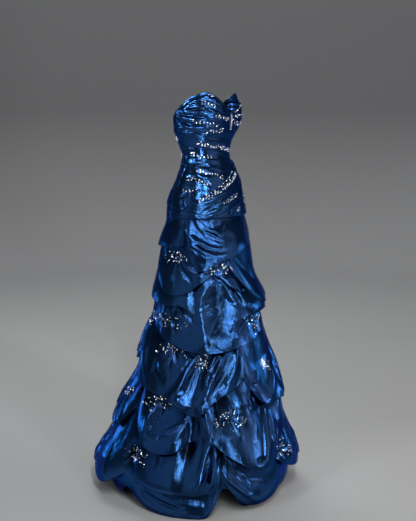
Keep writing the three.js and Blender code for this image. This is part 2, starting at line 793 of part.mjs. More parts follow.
const closure = new THREE.Group();
const sliderHeight = necklineAt(180) - ZIP.headroom;
closure.position.set(0, bodyRadius(180, sliderHeight) + ZIP.proud + ZIP.thick + LAYER_GAP, sliderHeight);
dress.add(closure);
const slider = sew("zip_slider", zipSlider(), zipMetal());
const pull = sew("zip_pull", zipPull(), zipMetal());
pull.position.set(0, SLIDER.thick + PULL.pivot, SLIDER.tall / 2);
closure.add(slider, pull);

const root = new THREE.Group();
root.add(dress);

export default root;
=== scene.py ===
"""A strapless taffeta evening dress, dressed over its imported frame: ruched bodice, gathered hip wrap, a skirt
picked up into swags, and its beads. Places round the body are in degrees and heights in millimetres above the
floor, as a maker would chalk them on; meshes are in metres, with the waist's middle at the origin.

A heading counts from the centre front towards the wearer's left. An angle, on the skirt, counts from the show
side, which is turned from the centre front by SHOW_SIDE."""

import math

import bpy
import numpy as np
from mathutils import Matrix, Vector


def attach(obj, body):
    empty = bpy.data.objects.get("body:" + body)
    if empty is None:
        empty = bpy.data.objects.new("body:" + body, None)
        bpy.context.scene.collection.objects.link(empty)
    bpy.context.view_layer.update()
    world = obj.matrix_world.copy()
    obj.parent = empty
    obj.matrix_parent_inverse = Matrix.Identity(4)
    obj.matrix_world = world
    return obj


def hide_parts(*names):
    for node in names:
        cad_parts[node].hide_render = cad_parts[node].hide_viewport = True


bl_info = {
    "name": "Picked-up evening dress",
    "version": (1, 0, 0),
    "blender": (4, 5, 0),
    "location": "View3D > Sidebar > Dress",
    "description": "Cloth, gathers, swags, beads and stage of a strapless evening dress",
    "category": "Object",
}

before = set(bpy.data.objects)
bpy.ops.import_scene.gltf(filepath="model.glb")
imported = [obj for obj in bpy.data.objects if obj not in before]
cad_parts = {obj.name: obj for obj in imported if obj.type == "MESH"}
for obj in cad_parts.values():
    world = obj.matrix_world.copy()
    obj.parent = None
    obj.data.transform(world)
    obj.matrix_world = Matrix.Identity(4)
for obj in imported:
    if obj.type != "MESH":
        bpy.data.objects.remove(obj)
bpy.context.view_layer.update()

# ---------------------------------------------------------------- sizes of the dress

WAIST_HEIGHT = 1200.0
SHOW_SIDE = -57.0  # heading
WALL = 2.4  # the solids' lined cloth
SIDE_SEAM = 108.0  # heading of the bodice's side seams
BASQUE = 990.0  # height of the bodice's lower edge
SEAM_GAP = 0.35  # between panels that are sewn together
LAYER_GAP = 0.7  # between a panel and what lies on it
RUCHE = 3.4  # how far the midriff's gathers stand out under the wrap
ZIP_HALF = 2.0
SKIRT_SEAMS = (-180.0, -114.0, -48.0, 48.0, 114.0, 180.0)  # headings
FAR_SIDE_LIFT = 12.0  # how much higher the far side's swags lie than the show side's
SIDE_REACH = 120.0  # degrees from its middle that either side's swags and folds reach
FOLD_REACH = 2.6  # how many times its width from its line a fold still lifts the cloth
TACK_REACH = 30.0  # how far from a tack the cloth is still drawn in
PLEAT_REACH = 120.0  # how far from a tack its pleats go on
RADIAN = 57.3  # degrees, near enough to find the points round a tack
LIP_LEAST, LIP_SHARE = 3.0, 0.14  # a swag's rolled edge: its least height, and more by how proud it is
OVERHANG = 0.42  # how far cloth sags for each millimetre that it stands out
SWING_TO = -147.0  # heading that the skirt swings towards
BEND_WEIGHT = 20.0  # how many millimetres of cloth a radian of bend counts for, when rows are chosen
ROW_STEPS = 560  # steps down a column at which its cloth is measured for that
EVENED_OVER = 4.0  # degrees over which the rows of neighbouring columns are evened out
LANES_START = 1300.0  # height of the bodice's first lane of gathers at the centre front
GATHERS_LEAST = 0.6  # how far the ruched cloth stands out at the bottom of its valleys

# The hem's turned-up edge: how far inside the last row each of its points lies, and how far above it.
HEM_TURN = ((0.7, -0.3), (1.6, 0.2), (2.2, 2.0), (2.6, 14.0))

# height, half width, depth to the front, depth to the back, swing
SECTIONS = (
    (0, 306, 306, 306, 30),
    (30, 325, 325, 325, 32),
    (70, 337, 337, 337, 34),
    (110, 338, 338, 338, 33),
    (150, 332, 332, 332, 31),
    (224, 312, 312, 312, 24),
    (301, 289, 288, 288, 13),
    (377, 265, 263, 264, 4),
    (453, 242, 239, 240, 0),
    (529, 222, 217, 219, 0),
    (603, 205, 198, 200, 0),
    (678, 192, 183, 185, 0),
    (752, 181, 171, 173, 0),
    (825, 174, 160, 162, 0),
    (898, 169, 147, 150, 0),
    (940, 166, 136, 140, 0),
    (985, 161, 121, 130, 0),
    (1007, 159, 118, 129, 0),
    (1042, 154, 114, 126, 0),
    (1078, 146, 104, 115, 0),
    (1113, 134, 97, 94, 0),
    (1149, 118, 86, 80, 0),
    (1184, 106, 72, 75, 0),
    (1202, 102, 68, 75, 0),
    (1222, 104, 68, 80, 0),
    (1250, 111, 75, 93, 0),
    (1300, 127, 90, 105, 0),
    (1350, 129, 92, 106, 0),
    (1385, 121, 92, 102, 0),
    (1420, 115, 88, 96, 0),
)
CUP = {"heading": 40.0, "height": 1348.0, "proud": 20.0, "wide": 25.0, "tall": 56.0}

# heading, neckline, seam under the bust
NECKLINE = (
    (0, 1349, 1293),
    (10, 1361, 1288),
    (25, 1383, 1280),
    (40, 1406, 1275),
    (57, 1419, 1274),
    (75, 1409, 1277),
    (90, 1394, 1284),
    (108, 1364, 1292),
    (120, 1346, 1292),
    (135, 1333, 1292),
    (150, 1326, 1292),
    (180, 1322, 1292),
)

# heading, upper edge of the hip wrap
WRAP_EDGE = (
    (-100, 1006),
    (-86, 1024),
    (-72, 1052),
    (-49, 1080),
    (-20, 1108),
    (10, 1136),
    (40, 1168),
    (75, 1190),
    (104, 1196),
)

# rise, then points of the lower edge: angle, height, how far the cloth stands out there
SWAGS = (
    (80, ((-100, 902, 0), (-80, 890, 14), (-60, 893, 18), (-36, 892, 16), (-24, 902, 0))),
    (125, ((-28, 896, 0), (-20, 872, 18), (-8, 824, 30), (14, 846, 27), (44, 876, 19), (80, 902, 0))),
    (90, ((-84, 846, 0), (-64, 792, 15), (-44, 742, 23), (-22, 741, 22), (-2, 786, 15), (13, 800, 0))),
    (55, ((6, 800, 0), (16, 785, 14), (34, 749, 17), (50, 744, 0))),
    (80, ((20, 862, 0), (34, 796, 11), (53, 736, 17), (82, 692, 26), (118, 742, 0))),
    (90, ((-104, 752, 0), (-76, 714, 17), (-48, 697, 24), (-20, 692, 24), (-10, 642, 10), (-2, 612, 0))),
    (115, ((6, 606, 0), (20, 634, 20), (34, 655, 28), (63, 672, 35), (88, 676, 22), (106, 706, 0))),
    (
        150,
        (
            (-56, 628, 0),
            (-42, 592, 26),
            (-20, 564, 38),
            (8, 554, 42),
            (38, 574, 34),
            (61, 597, 20),
            (82, 628, 0),
        ),
    ),
    (160, ((-112, 560, 0), (-96, 500, 18), (-82, 478, 22), (-70, 520, 10), (-64, 570, 0))),
    (
        170,
        (
            (-84, 590, 0),
            (-70, 486, 22),
            (-53, 423, 36),
            (-26, 400, 42),
            (-8, 352, 46),
            (7, 398, 32),
            (24, 428, 14),
            (34, 444, 0),
        ),
    ),
    (135, ((28, 470, 0), (38, 392, 14), (46, 354, 28), (62, 366, 31), (80, 390, 24), (104, 430, 0))),
    (150, ((-116, 400, 0), (-98, 322, 20), (-82, 270, 30), (-68, 262, 26), (-56, 340, 0))),
    (110, ((-56, 330, 0), (-44, 268, 25), (-34, 228, 33), (-20, 222, 28), (-6, 256, 0))),
    (190, ((-6, 268, 0), (3, 252, 14), (17, 197, 36), (33, 150, 42), (44, 162, 28), (54, 222, 0))),
    (150, ((-122, 150, 0), (-100, 96, 26), (-82, 70, 40), (-66, 62, 38), (-50, 112, 0))),
    (130, ((-46, 132, 0), (-38, 108, 22), (-14, 99, 38), (-4, 134, 30), (3, 252, 12), (8, 300, 0))),
    (150, ((44, 176, 0), (60, 120, 22), (78, 98, 32), (96, 112, 26), (116, 150, 0))),
    (92, ((-46, 24, 0), (-34, -6, 30), (-14, -16, 52), (0, -8, 50), (9, 50, 0))),
    (96, ((8, 130, 0), (18, 52, 18), (29, 18, 26), (44, 26, 22), (60, 66, 0))),
)

# how proud, how wide, then points along the fold: angle, height
FOLDS = (
    (5, 15, ((-34, 962), (-25, 912), (0, 874), (30, 872))),
    (12, 26, ((3, 784), (-7, 726), (-5, 643), (0, 570))),
    (9, 24, ((20, 772), (38, 728), (50, 690))),
    (-9, 26, ((14, 760), (14, 690), (16, 600))),
    (12, 18, ((-8, 528), (-16, 468), (-24, 405))),
    (12, 17, ((7, 524), (3, 470), (-2, 400))),
    (12, 17, ((26, 520), (20, 474), (14, 425))),
    (-10, 16, ((0, 520), (-6, 460), (-12, 380))),
    (12, 18, ((-4, 350), (0, 300), (3, 246))),
    (-20, 24, ((-9, 340), (-11, 260), (-13, 130))),
    (13, 24, ((-38, 372), (-40, 320), (-37, 240))),
    (9, 24, ((26, 400), (30, 330), (34, 255))),
    (13, 24, ((70, 390), (58, 300), (46, 215))),
    (12, 24, ((-72, 630), (-64, 540), (-58, 450))),
    (11, 15, ((5, 230), (-1, 160), (-7, 104))),
    (11, 13, ((6, 225), (5, 160), (3, 104))),
    (12, 17, ((12, 140), (22, 96), (32, 44))),
)

# angle, height, how far the tack pulls the cloth in
TACKS = (
    (-42, 862, 9),
    (12, 806, 12),
    (-36, 650, 11),
    (52, 634, 11),
    (-76, 640, 12),
    (-31, 540, 10),
    (-3, 506, 8),
    (-36, 368, 14),
    (17, 318, 15),
    (56, 176, 10),
    (-48, 190, 12),
)
# angle, height of the hem above the floor
HEM = (
    (-90, 6),
    (-74, 0),
    (-60, 14),
    (-50, 62),
    (-42, 30),
    (-32, 4),
    (-14, 0),
    (0, 4),
    (8, 84),
    (13, 88),
    (21, 24),
    (29, 2),
    (44, 14),
    (62, 34),
    (78, 16),
    (90, 6),
)

# Creases laid on each panel of the bodice, heading in place of angle: how proud, how wide, the line.
CREASES = {
    "bust_right": (
        (-4.5, 4.5, ((-104, 1346), (-82, 1340), (-65, 1335), (-58, 1334))),
        (-4.5, 4.5, ((-114, 1324), (-89, 1314), (-70, 1307), (-61, 1303))),
        (3.5, 7, ((-96, 1355), (-78, 1353), (-57, 1346))),
        (3.5, 6, ((-105, 1335), (-82, 1328), (-62, 1321))),
        (3.5, 6, ((-99, 1305), (-82, 1300), (-66, 1293))),
        (3, 5, ((-93, 1366), (-79, 1388), (-57, 1404), (-43, 1391), (-23, 1352))),
        (3, 5, ((-83, 1374), (-66, 1388), (-49, 1382), (-38, 1369), (-19, 1340))),
        (-3, 4, ((-82, 1365), (-66, 1368), (-49, 1366), (-28, 1341))),
        (2.5, 5, ((-78, 1362), (-59, 1370), (-44, 1352), (-19, 1332))),
        (2.5, 5, ((-57, 1338), (-43, 1324), (-15, 1326))),
        (-2.5, 4, ((-59, 1321), (-43, 1312), (-14, 1321))),
    ),
    "bust_left": (
        (2.5, 4, ((4, 1352), (40, 1388), (66, 1410))),
        (2.5, 4, ((4, 1348), (30, 1372), (51, 1399))),
        (2.5, 4, ((3, 1343), (18, 1363), (38, 1384))),
        (2.5, 4, ((4, 1336), (18, 1349), (38, 1367))),
        (2.5, 4, ((6, 1326), (21, 1329), (36, 1341))),
        (2.5, 4, ((5, 1315), (22, 1312))),
        (-2.5, 3.5, ((3, 1339), (16, 1356), (35, 1375))),
        (2.5, 5, ((46, 1330), (74, 1338), (104, 1348))),
        (-2.5, 4, ((40, 1344), (72, 1362), (102, 1360))),
        (2.5, 5, ((60, 1384), (82, 1384), (102, 1368))),
        (-3, 4, ((44, 1302), (76, 1308), (106, 1318))),
        (2.5, 6, ((30, 1296), (66, 1294), (104, 1304))),
    ),
    "midriff_front": (
        (-3, 4, ((-93, 1289), (-71, 1276), (-47, 1266), (8, 1263))),
        (3, 8, ((-95, 1264), (-69, 1253), (-34, 1249), (20, 1239))),
        (-2.5, 5, ((-96, 1235), (-70, 1230), (-34, 1218))),
        (2.5, 7, ((-92, 1192), (-70, 1193), (-45, 1187), (1, 1182))),
        (-3, 5, ((-91, 1179), (-72, 1171), (-53, 1165))),
        (2.5, 7, ((-91, 1147), (-70, 1137), (-51, 1125))),
        (-3, 4.5, ((-91, 1133), (-76, 1124), (-61, 1115), (-49, 1100))),
        (-3, 4, ((-29, 1138), (-13, 1142), (13, 1146))),
        (-3, 4, ((9, 1179), (46, 1177))),
        (-3, 5, ((-97, 1060), (-85, 1070), (-68, 1084))),
        (-3, 5, ((-91, 1055), (-87, 1030))),
        (-6, 7, ((-95, 1166), (-100, 1127), (-100, 1084))),
        (2.6, 7, ((106, 1240), (80, 1226), (50, 1222))),
        (-2.6, 5, ((104, 1258), (74, 1246), (36, 1256))),
        (2.4, 7, ((58, 1202), (84, 1208), (106, 1204))),
    ),
    "hip_wrap": (
        (4, 6, ((17, 1134), (-25, 1103), (-49, 1075), (-67, 1048))),
        (4, 7, ((-9, 1085), (-30, 1074), (-45, 1061))),
        (-3.5, 4, ((-15, 1073), (-45, 1042), (-68, 1003))),
        (4, 7, ((-8, 1071), (-34, 1049), (-43, 1021))),
        (-3, 4, ((4, 1075), (-23, 1050), (-38, 1012))),
        (3.5, 6, ((4, 1060), (-18, 1041), (-29, 1014))),
        (-3, 4, ((12, 1053), (-11, 1028), (-21, 1001))),
        (3, 6, ((31, 1073), (11, 1050), (-4, 1026))),
        (3, 7, ((70, 1160), (46, 1110), (26, 1062))),
        (-2.6, 5, ((76, 1140), (56, 1088), (40, 1020))),
        (3, 8, ((92, 1150), (74, 1090), (60, 1010))),
        (-2.4, 5, ((98, 1120), (88, 1060), (80, 1004))),
    ),
    "back_right": (
        (2.6, 9, ((-174, 1282), (-150, 1290), (-112, 1276))),
        (-2.4, 7, ((-172, 1216), (-146, 1206), (-112, 1214))),
        (2.8, 9, ((-176, 1140), (-144, 1152), (-110, 1132))),
        (2.6, 8, ((-170, 1052), (-140, 1040), (-112, 1058))),
        (-2.4, 6, ((-168, 1096), (-138, 1086), (-114, 1094))),
    ),
    "back_left": (
        (2.6, 9, ((112, 1288), (146, 1276), (174, 1292))),
        (-2.4, 7, ((114, 1196), (144, 1210), (172, 1200))),
        (2.8, 9, ((112, 1120), (140, 1132), (176, 1118))),
        (2.6, 8, ((112, 1046), (142, 1060), (170, 1044))),
        (-2.4, 6, ((114, 1240), (146, 1232), (170, 1244))),
    ),
}

# Narrow creases of the skirt's show side.
SKIRT_CREASES = (
    (6, 6, ((-29, 963), (-22, 944), (-11, 923), (3, 904), (15, 898))),
    (4, 5, ((-26, 940), (-15, 922), (-6, 899), (4, 890))),
    (5, 6, ((-21, 925), (-12, 907), (-2, 889), (10, 881))),
    (-2, 5, ((-16, 920), (-4, 902), (9, 897), (24, 889))),
    (4, 5, ((-8, 971), (-2, 948), (10, 937), (19, 927))),
    (4, 4, ((-3, 976), (3, 957), (13, 949), (18, 937))),
    (3, 5, ((6, 976), (11, 954), (19, 941))),
    (3, 4, ((-12, 974), (-7, 952), (1, 927), (14, 914))),
    (-2, 4, ((-9, 955), (-2, 933), (10, 917))),
    (6, 8, ((-28, 853), (-26, 830), (-17, 817), (-8, 812), (-2, 820), (6, 817))),
    (5, 7, ((-39, 832), (-39, 799), (-35, 771))),
    (-5, 7, ((-31, 824), (-24, 803), (-12, 781))),
    (6, 9, ((27, 802), (33, 784), (37, 735), (42, 699))),
    (5, 8, ((21, 754), (26, 725), (31, 709))),
    (-5, 7, ((30, 753), (32, 730), (35, 712))),
    (6, 10, ((2, 763), (-6, 732), (-6, 691), (-4, 664), (-1, 622), (-1, 590))),
    (-6, 6, ((15, 662), (9, 641), (5, 623))),
    (5, 7, ((27, 655), (23, 637), (19, 626))),
    (5, 7, ((42, 653), (34, 632), (28, 603))),
    (-5, 6, ((39, 641), (34, 626), (30, 613))),
    (-5, 8, ((-28, 706), (-21, 673), (-12, 659))),
    (9, 8, ((-8, 533), (-15, 496), (-19, 454), (-20, 436))),
    (8, 8, ((15, 530), (6, 487), (0, 443))),
    (7, 7, ((7, 532), (1, 484), (-2, 445))),
    (-6, 6, ((10, 525), (3, 491), (-1, 454))),
    (8, 8, ((28, 547), (25, 513), (15, 454))),
    (-7, 8, ((14, 474), (8, 445), (1, 418))),
    (-8, 9, ((-8, 499), (-12, 460), (-14, 424))),
    (5, 8, ((-23, 418), (-16, 397), (-8, 386))),
    (7, 9, ((-41, 359), (-40, 318), (-38, 283), (-31, 260))),
    (6, 7, ((-16, 289), (-18, 274), (-21, 258))),
    (-6, 7, ((-30, 274), (-20, 298), (-14, 315))),
    (8, 7, ((-3, 386), (1, 317), (3, 270))),
    (5, 10, ((6, 422), (8, 357), (10, 312))),
    (6, 8, ((36, 409), (33, 378), (34, 336), (35, 288))),
    (5, 6, ((45, 458), (39, 433))),
    (5, 8, ((24, 348), (22, 314), (22, 274))),
    (-14, 7, ((45, 328), (40, 260), (36, 199), (31, 194))),
    (8, 12, ((69, 491), (62, 439), (48, 371))),
    (9, 8, ((66, 393), (53, 203))),
    (7, 8, ((52, 308), (49, 256), (49, 207))),
    (-7, 8, ((61, 339), (62, 281), (54, 253))),
    (9, 9, ((0, 239), (-3, 186), (-6, 138))),
    (8, 7, ((6, 215), (3, 151), (2, 91))),
    (8, 6, ((8, 197), (7, 123), (5, 81))),
    (-7, 7, ((3, 211), (0, 161), (-2, 104))),
    (5, 12, ((-29, 229), (-26, 194), (-27, 170))),
    (6, 9, ((-36, 83), (-29, 71), (-17, 54), (-3, 51))),
    (-7, 7, ((-37, 71), (-27, 50), (-13, 35))),
    (7, 8, ((5, 69), (3, 41), (-1, 20))),
    (6, 7, ((10, 142), (16, 111), (24, 75))),
    (8, 10, ((19, 136), (26, 98), (35, 92))),
    (-6, 7, ((14, 146), (21, 108), (25, 83))),
    (7, 12, ((-83, 361), (-76, 300), (-67, 241))),
    (7, 14, ((-79, 161), (-67, 142))),
    (6, 10, ((-63, 557), (-56, 498), (-45, 435))),
    (-10, 12, ((-45, 514), (-43, 479), (-34, 462))),
    (6, 8, ((-104, 640), (-98, 580), (-92, 520))),
    (-6, 7, ((-94, 650), (-90, 590), (-86, 515))),
    (6, 8, ((-86, 640), (-82, 575), (-79, 500))),
    (-5, 7, ((-78, 630), (-76, 570))),
    (-6, 8, ((-104, 480), (-100, 410), (-96, 345))),
    (6, 9, ((-96, 470), (-92, 400), (-88, 310))),
    (-7, 8, ((-88, 440), (-84, 370), (-80, 300))),
    (6, 8, ((-74, 400), (-72, 340), (-68, 285))),
    (-7, 9, ((-108, 250), (-102, 190), (-96, 120))),
    (7, 10, ((-98, 240), (-93, 170), (-88, 100))),
    (-8, 9, ((-90, 230), (-84, 160), (-80, 85))),
    (7, 9, ((-70, 215), (-66, 140), (-63, 80))),
    (6, 8, ((86, 560), (82, 500), (78, 420))),
    (-6, 8, ((94, 540), (90, 470), (88, 410))),
    (-7, 8, ((74, 470), (70, 410))),
    (7, 9, ((96, 260), (90, 190), (86, 125))),
    (-7, 8, ((84, 250), (80, 190), (78, 120))),
    (6, 8, ((70, 240), (68, 180), (66, 130))),
    (-6, 8, ((104, 240), (102, 180))),
)

# Beads that follow the ruching: the panel, how many rows of stones, then heading and height along the line.
BEAD_LINES = (
    ("bust_right", 3, ((-56, 1416), (-44, 1403))),
    ("bust_right", 3, ((-66, 1386), (-53, 1379), (-42, 1369))),
    ("bust_right", 3, ((-45, 1342), (-30, 1332), (-7, 1329))),
    ("bust_left", 3, ((7, 1329), (21, 1339), (42, 1353))),
    ("bust_left", 3, ((14, 1350), (30, 1376), (44, 1396))),
    ("bust_left", 3, ((10, 1316), (30, 1312), (52, 1318))),
    ("bust_right", 3, ((-79, 1325), (-59, 1315), (-37, 1305))),
    ("bust_right", 3, ((-59, 1285), (-43, 1286), (-22, 1291))),
    ("midriff_front", 4, ((-76, 1247), (-44, 1237), (38, 1219))),
    ("midriff_front", 3, ((-89, 1213), (-68, 1203), (-44, 1199))),
    ("midriff_front", 3, ((-77, 1152), (-52, 1145), (-20, 1127))),
    ("midriff_front", 3, ((-91, 1129), (-62, 1115), (-48, 1101))),
    ("midriff_front", 3, ((-92, 1091), (-80, 1088), (-69, 1093))),
    ("hip_wrap", 7, ((24, 1143), (-24, 1099), (-50, 1071), (-68, 1050))),
    ("hip_wrap", 3, ((9, 1068), (-15, 1054), (-32, 1038))),
    ("hip_wrap", 3, ((9, 1019), (0, 1010))),
    ("hip_wrap", 3, ((39, 1056), (29, 1043), (32, 1030))),
    ("back_right", 3, ((-125, 1201), (-135, 1196), (-150, 1202))),
    ("back_right", 3, ((-118, 1262), (-132, 1256), (-142, 1262))),
    ("back_left", 3, ((118, 1214), (134, 1206), (150, 1212))),
    ("midriff_front", 3, ((60, 1218), (80, 1228), (100, 1232))),
)

# Stones on the tab between the cups, in two columns: apart is from the tab's middle to a column, and lift
# from the body to the tab's face.
TAB = {"top": 1345.0, "bottom": 1291.0, "stones": 22, "apart": 2.2, "lift": 10.2}

# Clusters of beads round the tacks: angle and height of the middle, half its width in degrees, half its
# height. The far side has the same ones, mirrored.
BEAD_CLUSTERS = (
    (-40, 856, 16, 22),
    (17, 819, 15, 17),
    (-38, 648, 19, 20),
    (54, 634, 14, 30),
    (-72, 630, 9, 20),
    (-33, 540, 15, 22),
    (-3, 506, 8, 20),
    (-39, 360, 13, 16),
    (18, 320, 12, 26),
    (60, 176, 11, 30),
    (-44, 186, 9, 24),
    (59, 476, 5, 16),
    (-74, 366, 7, 14),
)

CLUSTER_SPREAD = 1.2  # how far past that its outermost stones may lie

# ---------------------------------------------------------------- curves, noise and places


def curve(xs, ys):
    """A cubic between the points of a table, whose slope at a point is that of the line between its
    neighbours."""
    xs, ys = np.asarray(xs, float), np.asarray(ys, float)
    low = np.maximum(np.arange(len(xs)) - 1, 0)
    high = np.minimum(np.arange(len(xs)) + 1, len(xs) - 1)
    slopes = (ys[high] - ys[low]) / (xs[high] - xs[low])

    def value(x):
        x = np.clip(x, xs[0], xs[-1])
        i = np.clip(np.searchsorted(xs, x, side="left") - 1, 0, len(xs) - 2)
        span = xs[i + 1] - xs[i]
        t = (x - xs[i]) / span
        rise = ys[i + 1] - ys[i]
        bend_in = slopes[i] * span - rise
        bend_out = rise - slopes[i + 1] * span
        return ys[i] + t * rise + t * (1 - t) * ((1 - t) * bend_in + t * bend_out)

    return value


def column(rows, index):
    """The curve of one column of a table over its first column."""
    return curve([row[0] for row in rows], [row[index] for row in rows])


side_at, front_at, back_at, swing_at = (column(SECTIONS, i) for i in (1, 2, 3, 4))
neckline_at, underbust_at = column(NECKLINE, 1), column(NECKLINE, 2)
wrap_edge_at = column(WRAP_EDGE, 1)
show_hem_at = column(HEM, 1)


def neckline(heading):
    """Height of the upper edge, the same to the left and the right."""
    return neckline_at(np.abs(heading))


def underbust(heading):
    """Height of the seam below the cups, the same to the left and the right."""
    return underbust_at(np.abs(heading))


def bell(x):
    """A bell from 1 at 0 down to nothing: the power of e to minus the square."""
    return np.exp(-x * x)


def rounded(distance, roll):
    """A quarter circle from 0 at an edge to 1 at roll inside it."""
    return np.sqrt(np.clip(1 - (1 - np.clip(distance / roll, 0, 1)) ** 2, 0, 1))


def lattice(i, j, seed):
    """A steady value from 0 to 1 for each whole pair: the fraction of a large sine."""
    wave = np.sin(i * 127.1 + j * 311.7 + seed * 74.7) * 43758.5453
    return wave - np.floor(wave)


def noise(x, y, seed=0):
    """Smooth value noise from 0 to 1: the lattice's four values round a point, blended by eased shares."""
    i, j = np.floor(x), np.floor(y)
    u, v = x - i, y - j
    u, v = u * u * (3 - 2 * u), v * v * (3 - 2 * v)
    low = lattice(i, j, seed) * (1 - u) + lattice(i + 1, j, seed) * u
    high = lattice(i, j + 1, seed) * (1 - u) + lattice(i + 1, j + 1, seed) * u
    return low * (1 - v) + high * v


def crease(x, y, seed=0):
    """Sharp-backed ridges from 0 to 1, where noise passes its middle value."""
    return 1 - np.abs(2 * noise(x, y, seed) - 1)


def body_radius(heading, height):
    """The dress's axis to its cloth: an ellipse at each height, with two cups and the skirt's swing."""
    turn = np.radians(heading)
    across = np.sin(turn) / side_at(height)
    depth = np.cos(turn)
    along = depth / np.where(depth > 0, front_at(height), back_at(height))
    cup = bell((np.abs(heading) - CUP["heading"]) / CUP["wide"])
    cup = cup * bell((height - CUP["height"]) / CUP["tall"])
    swing = swing_at(height) * np.cos(np.radians(heading - SWING_TO))
    return 1 / np.hypot(across, along) + CUP["proud"] * cup + swing


def place(heading, radius, height):
    """Points in metres from the waist's middle, out from the dress's axis along a heading."""
    turn = np.radians(heading)
    xyz = np.stack([radius * np.sin(turn), -radius * np.cos(turn), height - WAIST_HEIGHT], axis=-1)
    return xyz / 1000.0


def turned(angle):
    """An angle brought between -180 and 180."""
    return (angle + 180.0) % 360.0 - 180.0


# ---------------------------------------------------------------- the skirt's form

SWAG_CURVES = [
    {"rise": rise, "from": edge[0][0], "to": edge[-1][0], "height": column(edge, 1), "proud": column(edge, 2)}
    for rise, edge in SWAGS
]


def swag_swell(swag, angle, height):
    """One swag: out over a round lip at its lower edge, and fading over its rise."""
    above = height - swag["height"](angle)
    proud = np.maximum(swag["proud"](angle), 0)
    roll = LIP_LEAST + LIP_SHARE * proud
    lip = rounded(above, roll)
    fade = np.cos(np.pi / 2 * np.clip((above - roll) / (swag["rise"] - roll), 0, 1)) ** 1.5
    return np.where((above > 0) & (above < swag["rise"]), proud * lip * fade, 0)


def fold_lift(fold, angle, height, radius):
    """One soft fold: a bell across a line of points, dying away towards both of its ends."""
    proud, wide, line = fold
    scale = np.radians(1) * radius
    best = np.zeros_like(radius)
    for i in range(len(line) - 1):
        (a0, h0), (a1, h1) = line[i], line[i + 1]
        ax, ay = (a1 - a0) * scale, h1 - h0
        ox, oy = (angle - a0) * scale, height - h0
        t = np.clip((ox * ax + oy * ay) / (ax * ax + ay * ay), 0, 1)
        distance = np.hypot(ox - t * ax, oy - t * ay)
        share = (i + t) / (len(line) - 1)
        best = np.maximum(best, bell(distance / wide) * np.sin(np.pi * (0.06 + 0.88 * share)) ** 0.6)
    return proud * best


def fold_near(fold, angle, height, radius):
    """Which points lie near enough to a fold for it to lift them."""
    line = np.array(fold[2], float)
    high = FOLD_REACH * fold[1]
    wide = np.degrees(high / np.maximum(radius, 60))
    across = (angle > line[:, 0].min() - wide) & (angle < line[:, 0].max() + wide)
    return across & (height > line[:, 1].min() - high) & (height < line[:, 1].max() + high)


def tack_pull(tack, n, angle, height, radius):
    """A tack draws the cloth in, by a bell, and uneven pleats, a cosine of the turn, spread from it."""
    tack_angle, tack_height, depth = tack
    x = np.radians(angle - tack_angle) * radius
    y = height - tack_height
    reach = np.hypot(x, y)
    turn = np.arctan2(x, y)
    wander = 0.8 * noise(reach / 30 + n, turn / 2 + 5, n)
    strength = 0.3 + 0.7 * noise(turn * 1.7 + 9, reach / 40, n + 30)
    ribs = np.cos((5 + n % 3) * (turn + wander) + 2.1 * n) * strength
    spread = np.clip(reach / 14, 0, 1) * bell((reach - 12) / 42)
    return depth * bell(reach / TACK_REACH) - 2.2 * ribs * spread


def below_basque(height, fade):
    """A share from 0 at the basque to 1 at fade below it."""
    return np.clip((BASQUE - height) / fade, 0, 1)


def gather_where(total, near, value):
    """Adds a value, worked out only where near is true, to a total."""
    if near.any():
        total[near] += value(near)


def drape(angle, height, radius):
    """How far the show side's cloth stands out: the cube root of the swags' cubes added up, with the folds
    added and the tacks taken off."""
    cubes = np.zeros_like(radius)
    for swag in SWAG_CURVES:
        near = (angle > swag["from"]) & (angle < swag["to"])
        gather_where(cubes, near, lambda m: swag_swell(swag, angle[m], height[m]) ** 3)
    folds = np.zeros_like(radius)
    for fold in FOLDS + SKIRT_CREASES:
        near = fold_near(fold, angle, height, radius)
        gather_where(folds, near, lambda m: fold_lift(fold, angle[m], height[m], radius[m]))
    for n, tack in enumerate(TACKS):
        aside = np.abs(angle - tack[0]) * radius
        near = (np.abs(height - tack[1]) < PLEAT_REACH) & (aside < PLEAT_REACH * RADIAN)
        gather_where(folds, near, lambda m: -tack_pull(tack, n, angle[m], height[m], radius[m]))
    return np.cbrt(cubes) + folds * below_basque(height, 40)


def crumple(heading, height, radius):
    """Small creases of worn taffeta: slanting ridges of noise that come and go, over upright ripples."""
    x = np.radians(heading) * radius
    slant = x * 0.8 + height * 0.6
    across = height * 0.8 - x * 0.6
    strength = noise(x / 90, height / 90, 11) ** 1.5
    broad = crease(slant / 80, across / 38, 5) ** 3
    fine = crease(across / 46, slant / 21, 8) ** 3
    ripples = noise(x / 24, height / 130, 17) - 0.5
    return (2.2 * broad + 1.0 * fine) * strength + 0.7 * ripples


def skirt_radius(angle, height, fine=True):
    """Radius of the skirt's outer face. The far side is the show side mirrored and lifted."""
    heading = turned(angle + SHOW_SIDE)
    radius = body_radius(heading, height)
    turn = turned(angle)
    show, far = np.zeros_like(radius), np.zeros_like(radius)
    near = np.abs(turn) <= SIDE_REACH
    show[near] = drape(turn[near], height[near], radius[near])
    near = np.abs(turn) >= 180 - SIDE_REACH
    far[near] = drape(180.0 - angle[near] % 360.0, height[near] - FAR_SIDE_LIFT, radius[near])
    out = np.cbrt(np.maximum(show, 0) ** 3 + np.maximum(far, 0) ** 3)
    small = crumple(heading, height, radius) * below_basque(height, 20) if fine else 0
    return radius + WALL + out + np.minimum(show, 0) + np.minimum(far, 0) + small


def skirt_place(heading, height):
    """A point of the skirt. Cloth that stands out also sags, so each swag hangs over what is below it."""
    angle = heading - SHOW_SIDE
    radius = skirt_radius(angle, height)
    out = np.maximum(radius - body_radius(turned(heading), height) - WALL, 0)
    above_hem = np.clip((height - hem_height(angle)) / 60, 0, 1)
    sag = OVERHANG * out * above_hem * below_basque(height, 60)
    return place(heading, radius, height - sag)


